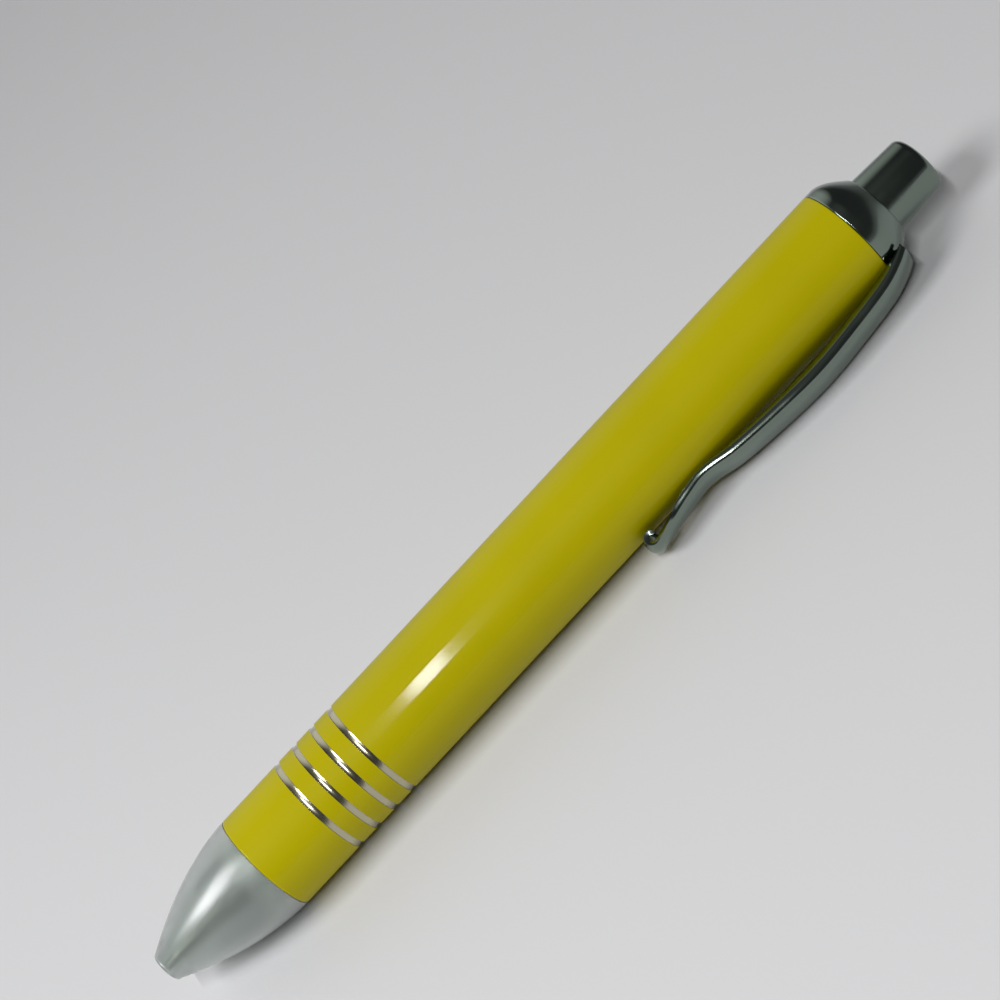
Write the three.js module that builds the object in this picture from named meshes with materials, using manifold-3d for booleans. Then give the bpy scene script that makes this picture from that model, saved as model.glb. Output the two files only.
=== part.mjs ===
// LED light pen: a push-button ball pen with a clear nose that is lit from inside.
// Millimetres. The pen lies along X with its tip towards -X, on the plane z = 0, +Z up.
// Stations are distances along the pen from the nose's front face, towards the button.
import * as THREE from 'three';
import { mergeVertices } from 'three/addons/utils/BufferGeometryUtils.js';
import Module from 'manifold-3d';

const wasm = await Module();
wasm.setup();

// Facets round the turned pieces
const OUTER_SIDES = 40;
const INNER_SIDES = 24;
const SMALL_SIDES = 16;
const NOSE_STEPS = 10;
const CAVITY_STEPS = 6;
const DOME_STEPS = 7;
const EDGE_STEPS = 4;
const LEAD_STEPS = 10;
const LEAF_STEPS = 6;
const HOLE_SIDES = 8;
const BALL_SIDES = 10;
const BALL_RINGS = 8;
const LEAD_SEGMENTS = 4;

// Clearances
const RUNNING_GAP = 0.3;
const SEAT_GAP = 0.1;
const FIT_GAP = 0.25;
const SINK = 0.3;
const CUTTER_MARGIN = 1;
const MERGE_DISTANCE = 1e-4;

// Stroke of the push button and of everything that it drives
const STROKE = 5.6;

// Barrel
const BARREL_FRONT = 17.3;
const BARREL_LENGTH = 101.9;
const BARREL_RADIUS = 7.0;
const BARREL_WALL = 0.6;
const BARREL_EDGE = 0.25;
const GROOVE_COUNT = 4;
const GROOVE_SETBACK = 9.6;
const GROOVE_PITCH = 3.03;
const GROOVE_WIDTH = 0.8;
const GROOVE_DEPTH = 0.15;

// Clear nose
const NOSE_TIP_RADIUS = 1.95;
const NOSE_CURVE = 1.8;
const NOSE_WALL = 0.9;
const NOSE_EDGE = 0.4;
const NOSE_BORE_LENGTH = 2.6;
const NOSE_CAVITY_SETBACK = 1.5;
const NOSE_SPIGOT_LENGTH = 6.5;
const NOSE_SPIGOT_WALL = 0.75;

// Cap at the button's end
const CAP_BAND = 0.9;
const CAP_DOME_LENGTH = 4.0;
const CAP_LIP = 0.2;
const CAP_ROOF = 2.9;
const CAP_SPIGOT_LENGTH = 6.0;
const CAP_SPIGOT_WALL = 0.6;

// Push button
const BUTTON_RADIUS = 4.2;
const BUTTON_END_RADIUS = 3.85;
const BUTTON_PROUD = 7.7;
const BUTTON_EDGE = 0.9;
const BUTTON_FLANGE_GAP = 0.45;
const BUTTON_FLANGE_THICKNESS = 1.3;
const BUTTON_SKIRT = 1.2;
const BUTTON_HOLLOW_RADIUS = 3.3;
const BUTTON_CROWN = 1.4;
const BUTTON_HOLLOW_EDGE = 0.4;

// Pocket clip: its outer face, as distance behind the barrel's end and height above the barrel
const CLIP_BENDS = [
  [-42.0, 2.95],
  [-35.0, 1.72],
  [-32.2, 1.6],
  [-27.8, 2.62],
  [-20.5, 3.42],
  [-14.2, 3.72],
  [-7.2, 3.22],
  [-2.0, 2.6],
  [1.0, 1.72],
  [3.7, 0.45],
];
const CLIP_THICKNESS = 0.6;
const CLIP_CROWN = 0.3;
const CLIP_FOOT_HALF_WIDTH = 1.8;
const CLIP_HALF_WIDTH = 2.6;
const CLIP_TAPER_LENGTH = 28;
const CLIP_WALL_DEPTH = 2.3;
const CLIP_FOOT_WALL_DEPTH = 1.1;
const CLIP_WALL_GAP = 0.36;
const CLIP_WALL_FIRST_STEP = 2;
const CLIP_CURL_RADIUS = 1.28;
const CLIP_CURL_TURN = 205;
const CLIP_TANG_LENGTH = 1.5;
const CLIP_TANG_HALF_WIDTH = 1.5;
const CLIP_TANG_DEPTH = 0.75;
const CLIP_CURL_STEPS = 7;
const CLIP_STEPS = 22;
const CLIP_CROWN_STEPS = 4;

// Lamp in the nose: a 3 mm LED beside the refill
const LAMP_GAP = 0.4;
const LAMP_FRONT = 9.6;
const LAMP_LENGTH = 5.0;
const LAMP_DOME_LENGTH = 1.5;
const LAMP_FLANGE_STEP = 0.15;
const LAMP_FLANGE_LENGTH = 0.7;
const LEAD_RADIUS = 0.25;
const LEAD_SPACING = 2.54;
const LEAD_REACH = 0.9;
const LEAD_BEND_START = 1.26;
const LEAD_BEND_MIDDLE = 0.45;
const LEAD_BEND_RISE = 0.225;
const LEAD_BEND_END = 0.11;

// Lamp holder, which is also the seat of the return spring
const HOLDER_FLANGE_LENGTH = 2.2;
const SPRING_SEAT_STATION = 20.0;

// Refill
const TIP_POINT = 0.75;
const BALL_RADIUS = 0.35;
const BALL_GAP = 0.05;
const TIP_CONE_LENGTH = 2.2;
const TIP_POINT_RADIUS = 0.46;
const TIP_STEP = 0.85;
const TIP_RADIUS = 1.15;
const REFILL_FRONT = 10.5;
const REFILL_SHORTER = 41.4;
const REFILL_RADIUS = 1.5;
const REFILL_WALL = 0.4;
const TIP_TAIL_LENGTH = 4.0;
const INK_HEADSPACE = 10.4;
const COLLAR_STATION = 44.0;
const COLLAR_LENGTH = 2.5;
const COLLAR_RADIUS = 2.5;

// Return spring round the refill
const SPRING_COIL_RADIUS = 2.1;
const SPRING_WIRE = 0.45;
const SPRING_TURNS = 12;
const COIL_STEPS = 8;
const WIRE_SIDES = 5;

// Carrier tube between the lamp holder and the click guide
const CARRIER_WALL = 0.85;
const STRIP_WIDTH = 1.6;
const STRIP_THICKNESS = 0.25;
const STRIP_SETBACK = 3.2;
const STRIP_OVERHANG = 0.7;
const EARTH_LENGTH = 2.0;
const EARTH_WALL = 0.3;
const LEAF_THICKNESS = 0.2;
const WIPER_LENGTH = 3.2;
const TAIL_LEAF_SETBACK = 7.0;
const TAIL_LEAF_LENGTH = 4.4;

// Three button cells in their sleeve
const CELL_COUNT = 3;
const CELL_ROOM = 2.45;
const CELL_EDGE = 0.3;
const CELL_CAN_LENGTH = 3.3;
const CELL_LENGTH = 3.6;
const CELL_FACE_STEP = 0.75;
const SLEEVE_SETBACK = 40.2;
const SLEEVE_WALL = 0.45;
const SLEEVE_FLOOR = 0.8;
const SLEEVE_LENGTH = 18.0;
const SLEEVE_MOUTH_RADIUS = 1.6;
const CONTACT_FLANGE_STEP = 0.55;
const CONTACT_THICKNESS = 0.3;
const SOCKET_GRIP = 4.3;
const SOCKET_WALL = 0.8;
const SOCKET_FLANGE_GAP = 0.9;
const SOCKET_FLANGE_LENGTH = 2.8;

// Spring behind the cells
const CELL_SPRING_LENGTH = 4.0;
const CELL_SPRING_COIL_RADIUS = 2.6;
const CELL_SPRING_WIRE = 0.35;
const CELL_SPRING_TURNS = 3;
const TAIL_THICKNESS = 0.2;
const TAIL_HALF_WIDTH = 0.7;
const TAIL_TAB_LENGTH = 10;
const TAIL_ROOT_DEPTH = 1;

// Click mechanism
const GUIDE_WALL = 1.15;
const GUIDE_RIB_HEIGHT = 0.8;
const GUIDE_CAP_GAP = 1.2;
const GUIDE_OVERLAP = 1.5;
const GUIDE_RIB_SETBACK = 3.6;
const GUIDE_RIB_TURN = 45;
const CAM_COUNT = 4;
const CAM_KEY_TURN = 31;
const CAM_KEY_RISE = 1.1;
const ROTOR_KEY_LENGTH = 2.2;
const ROTOR_KEY_GRIP = 0.4;
const ROTOR_BOSS_GAP = 0.6;
const ROTOR_BOSS_LENGTH = 2.0;
const TOOTH_COUNT = 8;
const TOOTH_HEIGHT = 1.1;
const TOOTH_INNER_RADIUS = 2.2;
const TOOTH_STEPS = 3;
const TOOTH_LEAD = 5;
const PLUNGER_HUB_LENGTH = 7.5;
const PLUNGER_STEM_RADIUS = 3.0;
const PLUNGER_KEY_LENGTH = 5.5;

// Sizes that follow from the ones above
const BARREL_END = BARREL_FRONT + BARREL_LENGTH;
const BARREL_BORE = BARREL_RADIUS - BARREL_WALL;
const CLIP_FACE = CLIP_BENDS.map(([behind, rise]) =>
  [BARREL_END + behind, BARREL_RADIUS + rise]);
const LINER_RADIUS = BARREL_BORE - FIT_GAP;
const SPIGOT_RADIUS = BARREL_BORE - FIT_GAP;
const CAP_BORE = BUTTON_RADIUS + FIT_GAP;
const CAP_DOME_TOP_RADIUS = CAP_BORE + CAP_LIP;
const CAP_END = BARREL_END + CAP_BAND + CAP_DOME_LENGTH;
const CAP_ROOF_STATION = CAP_END - CAP_ROOF;
const CAP_CAVITY_RADIUS = SPIGOT_RADIUS - CAP_SPIGOT_WALL;
const BUTTON_FLANGE_RADIUS = CAP_CAVITY_RADIUS - BUTTON_FLANGE_GAP;
const BUTTON_END = CAP_END + BUTTON_PROUD;
const FLANGE_REAR = CAP_ROOF_STATION - RUNNING_GAP;
const BUTTON_FRONT = FLANGE_REAR - BUTTON_FLANGE_THICKNESS - BUTTON_SKIRT;
const NOSE_BORE_RADIUS = TIP_RADIUS + RUNNING_GAP;
const NOSE_SPIGOT_BORE = SPIGOT_RADIUS - NOSE_SPIGOT_WALL;
const NOSE_REAR = BARREL_FRONT + NOSE_SPIGOT_LENGTH;
const LAMP_ROOM = noseRadius(LAMP_FRONT + LAMP_DOME_LENGTH) - NOSE_WALL - REFILL_RADIUS;
const LAMP_RADIUS = LAMP_ROOM / 2 - LAMP_GAP;
const LAMP_OFFSET = REFILL_RADIUS + LAMP_ROOM / 2;
const LAMP_FLANGE_RADIUS = LAMP_RADIUS + LAMP_FLANGE_STEP;
const HOLDER_RADIUS = NOSE_SPIGOT_BORE - RUNNING_GAP;
const HOLDER_FRONT = LAMP_FRONT + LAMP_LENGTH;
const HOLDER_SHOULDER = NOSE_REAR + RUNNING_GAP;
const HOLDER_REAR = HOLDER_SHOULDER + HOLDER_FLANGE_LENGTH;
const CELL_RADIUS = BARREL_BORE - CELL_ROOM;
const CELL_FACE_RADIUS = CELL_RADIUS - CELL_FACE_STEP;
const CONTACT_FLANGE_RADIUS = CELL_RADIUS - CONTACT_FLANGE_STEP;
const SLEEVE_STATION = BARREL_END - SLEEVE_SETBACK;
const SLEEVE_BORE = CELL_RADIUS + FIT_GAP;
const SLEEVE_RADIUS = SLEEVE_BORE + SLEEVE_WALL;
const SLEEVE_END = SLEEVE_STATION + SLEEVE_LENGTH;
const CELL_STACK_FRONT = SLEEVE_STATION + SLEEVE_FLOOR + CONTACT_THICKNESS + SEAT_GAP;
const CELL_PITCH = CELL_LENGTH + SEAT_GAP;
const CELL_STACK_REAR = CELL_STACK_FRONT + CELL_COUNT * CELL_PITCH;
const ROTOR_FRONT = CELL_STACK_REAR + CELL_SPRING_LENGTH;
const ROTOR_BOSS_RADIUS = SLEEVE_BORE - ROTOR_BOSS_GAP;
const ROTOR_HUB_FRONT = Math.max(ROTOR_FRONT + ROTOR_BOSS_LENGTH, SLEEVE_END + RUNNING_GAP);
const GUIDE_FRONT = SLEEVE_END - GUIDE_OVERLAP;
const GUIDE_RIB_FRONT = GUIDE_FRONT + GUIDE_RIB_SETBACK;
const GUIDE_END = BARREL_END - CAP_SPIGOT_LENGTH - GUIDE_CAP_GAP;
const GUIDE_BORE_RADIUS = LINER_RADIUS - GUIDE_WALL;
const GUIDE_RIB_RADIUS = GUIDE_BORE_RADIUS - GUIDE_RIB_HEIGHT;
const CAM_RADIUS = GUIDE_RIB_RADIUS - RUNNING_GAP;
const CAM_KEY_RADIUS = GUIDE_BORE_RADIUS - RUNNING_GAP;
const ROTOR_KEY_REAR = GUIDE_RIB_FRONT + STROKE - ROTOR_KEY_GRIP;
const PLUNGER_FRONT = ROTOR_KEY_REAR + TOOTH_HEIGHT + RUNNING_GAP + SEAT_GAP;
const PLUNGER_HUB_REAR = PLUNGER_FRONT + PLUNGER_HUB_LENGTH;
const PLUNGER_REAR = BUTTON_END - BUTTON_CROWN - RUNNING_GAP;
const CARRIER_FRONT = HOLDER_REAR;
const CARRIER_REAR = GUIDE_FRONT;
const CARRIER_BORE = LINER_RADIUS - CARRIER_WALL;
const LEAD_TURN = Math.atan2(LEAD_SPACING / 2, LAMP_OFFSET);
const LEAD_HEIGHT = Math.hypot(LEAD_SPACING / 2, LAMP_OFFSET);
const STRIP_HEIGHT = LINER_RADIUS - STRIP_THICKNESS - SEAT_GAP;
const STRIP_FRONT = CARRIER_FRONT + STRIP_SETBACK;
const EARTH_FRONT = CARRIER_FRONT + SEAT_GAP;
const EARTH_INNER_RADIUS = BARREL_BORE - SEAT_GAP - EARTH_WALL;
const REFILL_LENGTH = BARREL_LENGTH - REFILL_SHORTER;
const REFILL_REAR = REFILL_FRONT + REFILL_LENGTH;
const SOCKET_REAR = SLEEVE_STATION - RUNNING_GAP;
const SOCKET_FLANGE_FRONT = SOCKET_REAR - SOCKET_FLANGE_LENGTH;
const SOCKET_FLANGE_RADIUS = CARRIER_BORE - SOCKET_FLANGE_GAP;
const SOCKET_FRONT = REFILL_REAR - SOCKET_GRIP;
const WIPER_MIDDLE = (SOCKET_FLANGE_FRONT + SOCKET_REAR) / 2;
const STRIP_REAR = WIPER_MIDDLE - STROKE + WIPER_LENGTH / 2 + STRIP_OVERHANG;
const TAIL_STATION = ROTOR_FRONT - TAIL_THICKNESS - SEAT_GAP;
const TAIL_LEAF_MIDDLE = TAIL_STATION - TAIL_LEAF_SETBACK;
const TAIL_LEAF_BASE = BARREL_BORE - LEAF_THICKNESS - 2 * SEAT_GAP;
const TAIL_LEAF_HUMP = SLEEVE_RADIUS + TAIL_THICKNESS + 3 * SEAT_GAP;
const WIPER_BASE = SOCKET_FLANGE_RADIUS + LEAF_THICKNESS + SEAT_GAP;
const WIPER_HUMP = CARRIER_BORE - SEAT_GAP;
const INK_FRONT = REFILL_FRONT + TIP_TAIL_LENGTH + SEAT_GAP;
const INK_REAR = REFILL_REAR - INK_HEADSPACE;
const REFILL_BORE = REFILL_RADIUS - REFILL_WALL;
const AXIS_HEIGHT = BARREL_RADIUS * Math.cos(Math.PI / OUTER_SIDES);

// The clip turns the pen until its highest bend rests on the same plane as the barrel
const CLIP_CREST = Math.max(...CLIP_FACE.map(([, height]) => height));
const CLIP_CORNER = Math.hypot(CLIP_CREST - CLIP_CROWN, CLIP_HALF_WIDTH);
const CLIP_DROP = Math.asin(AXIS_HEIGHT / CLIP_CORNER) -
  Math.atan2(CLIP_HALF_WIDTH, CLIP_CREST - CLIP_CROWN);
const CLIP_ROLL = Math.PI / 2 + CLIP_DROP;

const material = (name, color, roughness, metalness, extra = {}) =>
  new THREE.MeshStandardMaterial({ name, color, roughness, metalness, ...extra });

const FINISH = {
  yellow: () => material('yellow_lacquer', 0xb4ad05, 0.25, 0.35),
  clear: () => material('frosted_clear', 0xc3cacc, 0.2, 0.0, { transparent: true, opacity: 0.6 }),
  chrome: () => material('chrome', 0x8a9494, 0.12, 1.0),
  steel: () => material('spring_steel', 0x9a9fa3, 0.3, 1.0),
  brass: () => material('brass', 0xb59a4a, 0.35, 1.0),
  nickel: () => material('nickel_silver', 0xb9b6ac, 0.28, 1.0),
  white: () => material('white_plastic', 0xe2e2dc, 0.5, 0.0),
  natural: () => material('natural_plastic', 0xd8d8cf, 0.45, 0.0),
  black: () => material('black_plastic', 0x1d1d1f, 0.5, 0.0),
  lens: () => material('lamp_lens', 0xe9eef2, 0.1, 0.0),
  carbide: () => material('carbide_ball', 0x6f7276, 0.15, 1.0),
  ink: () => material('blue_ink', 0x12205e, 0.3, 0.0),
};

// A closed mesh with merged corners, no flat triangles and its faces pointing out
function closed(geometry) {
  const bare = geometry.index ? geometry.toNonIndexed() : geometry.clone();
  bare.deleteAttribute('normal');
  bare.deleteAttribute('uv');
  const merged = mergeVertices(bare, MERGE_DISTANCE);
  const corners = merged.getIndex().array;
  const kept = [];
  for (let i = 0; i < corners.length; i += 3) {
    const [a, b, c] = [corners[i], corners[i + 1], corners[i + 2]];
    if (a !== b && b !== c && c !== a) kept.push(a, b, c);
  }
  merged.setIndex(kept);
  if (signedVolume(merged) < 0) {
    for (let i = 0; i < kept.length; i += 3) [kept[i], kept[i + 1]] = [kept[i + 1], kept[i]];
    merged.setIndex(kept);
  }
  merged.computeVertexNormals();
  return merged;
}

function signedVolume(geometry) {
  const place = geometry.getAttribute('position');
  const corners = geometry.getIndex().array;
  const [a, b, c] = [new THREE.Vector3(), new THREE.Vector3(), new THREE.Vector3()];
  let sum = 0;
  for (let i = 0; i < corners.length; i += 3) {
    a.fromBufferAttribute(place, corners[i]);
    b.fromBufferAttribute(place, corners[i + 1]);
    c.fromBufferAttribute(place, corners[i + 2]);
    sum += a.dot(b.cross(c));
  }
  return sum / 6;
}

function toSolid(geometry) {
  const mesh = closed(geometry);
  return new wasm.Manifold(new wasm.Mesh({
    numProp: 3,
    vertProperties: new Float32Array(mesh.getAttribute('position').array),
    triVerts: new Uint32Array(mesh.getIndex().array),
  }));
}

function fromSolid(solid) {
  const { vertProperties, triVerts } = solid.getMesh();
  const geometry = new THREE.BufferGeometry();
  geometry.setAttribute('position', new THREE.BufferAttribute(new Float32Array(vertProperties), 3));
  geometry.setIndex(Array.from(triVerts));
  geometry.computeVertexNormals();
  return geometry;
}

function joined(...geometries) {
  const [first, ...others] = geometries.map(toSolid);
  return fromSolid(others.reduce((whole, piece) => whole.add(piece), first));
}

function cut(body, ...tools) {
  return fromSolid(tools.map(toSolid).reduce((left, tool) => left.subtract(tool), toSolid(body)));
}

// A piece turned round the pen's axis from points of [station, radius], in order round its section.
// A flat facet faces straight down, so that the pen rests on faces and not on corners.
function turned(points, sides = INNER_SIDES) {
  const onAxis = points.some(([, radius]) => radius === 0);
  const profile = points.map(([station, radius]) => new THREE.Vector2(radius, station));
  if (!onAxis) profile.push(profile[0].clone());
  const geometry = new THREE.LatheGeometry(profile, sides, Math.PI / sides);
  geometry.rotateZ(-Math.PI / 2);
  return closed(geometry);
}

// A plain ring or tube between two stations
function ring(front, rear, outer, inner, sides = INNER_SIDES) {
  return turned([[front, inner], [front, outer], [rear, outer], [rear, inner]], sides);
}

// A solid rod on the pen's axis, between two stations
function rod(front, rear, radius, sides = INNER_SIDES) {
  return turned([[front, 0], [front, radius], [rear, radius], [rear, 0]], sides);
}

// A block between two radii and two angles, whose ends are set by functions of its turn, 0 to 1
function sector(inner, outer, start, turn, steps, front, rear) {
  const places = [];
  for (let i = 0; i <= steps; i += 1) {
    const share = i / steps;
    const angle = THREE.MathUtils.degToRad(start + turn * share);
    for (const [radius, station] of [[inner, front(share)], [outer, front(share)],
      [outer, rear(share)], [inner, rear(share)]]) {
      places.push(station, radius * Math.sin(angle), radius * Math.cos(angle));
    }
  }
  const corners = [0, 1, 2, 0, 2, 3];
  const last = steps * 4;
  corners.push(last, last + 2, last + 1, last, last + 3, last + 2);
  for (let i = 0; i < steps; i += 1) {
    for (let side = 0; side < 4; side += 1) {
      const [a, b] = [i * 4 + side, i * 4 + ((side + 1) % 4)];
      corners.push(a, a + 4, b, b, a + 4, b + 4);
    }
  }
  const geometry = new THREE.BufferGeometry();
  geometry.setAttribute('position', new THREE.Float32BufferAttribute(places, 3));
  geometry.setIndex(corners);
  return closed(geometry);
}

// Turns a piece that was drawn with the clip straight up to the clip's real side of the pen
const atClip = (geometry) => geometry.rotateX(CLIP_ROLL);

// A round wire swept along points, its ends flat and square to the first and last stretch
function wire(points, radius, sides) {
  const places = [];
  const corners = [];
  const along = (i) => {
    const before = points[Math.max(i - 1, 0)];
    const after = points[Math.min(i + 1, points.length - 1)];
    return after.clone().sub(before).normalize();
  };
  const side = new THREE.Vector3(0, 0, 1);
  points.forEach((point, i) => {
    const way = along(i);
    side.addScaledVector(way, -side.dot(way)).normalize();
    const other = way.clone().cross(side);
    for (let k = 0; k < sides; k += 1) {
      const angle = (2 * Math.PI * k) / sides;
      const corner = point.clone()
        .addScaledVector(side, radius * Math.cos(angle))
        .addScaledVector(other, radius * Math.sin(angle));
      places.push(corner.x, corner.y, corner.z);
    }
  });
  for (let i = 0; i + 1 < points.length; i += 1) {
    for (let k = 0; k < sides; k += 1) {
      const [a, b] = [i * sides + k, i * sides + ((k + 1) % sides)];
      corners.push(a, b, a + sides, b, b + sides, a + sides);
    }
  }
  const last = (points.length - 1) * sides;
  for (let k = 1; k + 1 < sides; k += 1) {
    corners.push(0, k + 1, k);
    corners.push(last, last + k, last + k + 1);
  }
  const geometry = new THREE.BufferGeometry();
  geometry.setAttribute('position', new THREE.Float32BufferAttribute(places, 3));
  geometry.setIndex(corners);
  return closed(geometry);
}

// A compression spring: one unbroken wire, its ends straight for one wire diameter, square to the seats
function coilSpring(name, front, rear, coilRadius, wireDiameter, turns) {
  const points = [new THREE.Vector3(front, 0, coilRadius)];
  const steps = turns * COIL_STEPS;
  const start = front + wireDiameter;
  const length = rear - front - 2 * wireDiameter;
  for (let i = 0; i <= steps; i += 1) {
    const angle = (2 * Math.PI * i) / COIL_STEPS;
    const station = start + (length * i) / steps;
    points.push(new THREE.Vector3(station, coilRadius * Math.sin(angle), coilRadius * Math.cos(angle)));
  }
  points.push(new THREE.Vector3(rear, points.at(-1).y, points.at(-1).z));
  let least = Infinity;
  for (let i = 0; i < points.length; i += 1) {
    for (let k = i + COIL_STEPS - 2; k < points.length; k += 1) {
      least = Math.min(least, points[i].distanceTo(points[k]) - wireDiameter);
    }
  }
  console.log(`${name}: least gap to itself ${least.toFixed(2)} mm`);
  return wire(points, wireDiameter / 2, WIRE_SIDES);
}

// Barrel: a thin metal tube with four turned grooves near its front
function barrel() {
  const points = [[BARREL_FRONT, BARREL_BORE], [BARREL_FRONT, BARREL_RADIUS - BARREL_EDGE],
    [BARREL_FRONT + BARREL_EDGE, BARREL_RADIUS]];
  for (let i = 0; i < GROOVE_COUNT; i += 1) {
    const middle = BARREL_FRONT + GROOVE_SETBACK + i * GROOVE_PITCH;
    const floor = BARREL_RADIUS - GROOVE_DEPTH;
    points.push([middle - GROOVE_WIDTH / 2, BARREL_RADIUS]);
    points.push([middle - GROOVE_WIDTH / 4, floor]);
    points.push([middle + GROOVE_WIDTH / 4, floor]);
    points.push([middle + GROOVE_WIDTH / 2, BARREL_RADIUS]);
  }
  points.push([BARREL_END, BARREL_RADIUS], [BARREL_END, BARREL_BORE]);
  return turned(points, OUTER_SIDES);
}

// The nose's outer radius, a full curve that flattens towards the barrel
function noseRadius(station) {
  const left = Math.max(0, 1 - station / BARREL_FRONT);
  return NOSE_TIP_RADIUS + (BARREL_RADIUS - NOSE_TIP_RADIUS) * (1 - left ** NOSE_CURVE);
}

// Clear nose: a bullet-shaped shell with a spigot that screws into the barrel
function noseCone() {
  const points = [[0, NOSE_BORE_RADIUS], [0, noseRadius(NOSE_EDGE) - NOSE_EDGE]];
  for (let i = 0; i <= NOSE_STEPS; i += 1) {
    const station = NOSE_EDGE + ((BARREL_FRONT - NOSE_EDGE) * i) / NOSE_STEPS;
    points.push([station, noseRadius(station)]);
  }
  points.push([BARREL_FRONT, SPIGOT_RADIUS], [NOSE_REAR, SPIGOT_RADIUS], [NOSE_REAR, NOSE_SPIGOT_BORE]);
  const cavityRear = BARREL_FRONT - NOSE_CAVITY_SETBACK;
  points.push([BARREL_FRONT, NOSE_SPIGOT_BORE]);
  for (let i = CAVITY_STEPS; i >= 0; i -= 1) {
    const station = NOSE_BORE_LENGTH + ((cavityRear - NOSE_BORE_LENGTH) * i) / CAVITY_STEPS;
    points.push([station, noseRadius(station) - NOSE_WALL]);
  }
  points.push([NOSE_BORE_LENGTH, NOSE_BORE_RADIUS]);
  return turned(points, OUTER_SIDES);
}

// The cap's outer radius, on its domed part
function capRadius(station) {
  const share = Math.min(1, Math.max(0, (station - BARREL_END - CAP_BAND) / CAP_DOME_LENGTH));
  return CAP_DOME_TOP_RADIUS + (BARREL_RADIUS - CAP_DOME_TOP_RADIUS) * Math.cos((Math.PI / 2) * share);
}

// Cap: a domed chrome collar that closes the barrel, guides the button and holds the clip
function topCap() {
  const front = BARREL_END - CAP_SPIGOT_LENGTH;
  const points = [[front, CAP_CAVITY_RADIUS], [front, SPIGOT_RADIUS], [BARREL_END, SPIGOT_RADIUS],
    [BARREL_END, BARREL_RADIUS]];
  for (let i = 0; i <= DOME_STEPS; i += 1) {
    const station = BARREL_END + CAP_BAND + (CAP_DOME_LENGTH * i) / DOME_STEPS;
    points.push([station, capRadius(station)]);
  }
  points.push([CAP_END, CAP_BORE], [CAP_ROOF_STATION, CAP_BORE], [CAP_ROOF_STATION, CAP_CAVITY_RADIUS]);
  const body = turned(points, OUTER_SIDES);
  const tang = clipTang();
  const slot = new THREE.BoxGeometry(
    CLIP_TANG_LENGTH + 2 * RUNNING_GAP,
    2 * (CLIP_TANG_HALF_WIDTH + RUNNING_GAP),
    BARREL_RADIUS,
  );
  slot.translate(tang.middle, 0, tang.foot - RUNNING_GAP + BARREL_RADIUS / 2);
  return cut(body, atClip(slot));
}

// Where the clip's tang stands, along the pen and above its axis
function clipTang() {
  const rear = CLIP_FACE.at(-1)[0];
  const middle = rear - CLIP_TANG_LENGTH / 2;
  return { middle, rear, foot: capRadius(middle) - CLIP_TANG_DEPTH };
}

const clipCurve = new THREE.SplineCurve(CLIP_FACE.map(([x, y]) => new THREE.Vector2(x, y)));

function clipHalfWidth(station) {
  const share = Math.min(1, Math.max(0, (station - CLIP_FACE[0][0]) / CLIP_TAPER_LENGTH));
  return THREE.MathUtils.lerp(CLIP_FOOT_HALF_WIDTH, CLIP_HALF_WIDTH, Math.sin((Math.PI / 2) * share));
}

// How far the clip's side walls come down, kept clear of the barrel
function clipWallFoot(point) {
  const share = Math.min(1, Math.max(0, (point.x - CLIP_FACE[0][0]) / CLIP_TAPER_LENGTH));
  const depth = THREE.MathUtils.lerp(CLIP_FOOT_WALL_DEPTH, CLIP_WALL_DEPTH, share);
  return Math.max(point.y - depth, Math.min(BARREL_RADIUS, capRadius(point.x)) + CLIP_WALL_GAP);
}

// A flat outline of station and height, given a width across the clip
function acrossClip(outline, steps, spread) {
  const geometry = new THREE.ExtrudeGeometry(new THREE.Shape(outline), {
    depth: 2, steps, bevelEnabled: false,
  });
  const place = geometry.getAttribute('position');
  for (let i = 0; i < place.count; i += 1) {
    const [station, height, share] = [place.getX(i), place.getY(i), place.getZ(i) - 1];
    const [offset, drop] = spread(station, share);
    place.setXYZ(i, station, offset, height - drop);
  }
  return closed(geometry);
}

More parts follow.
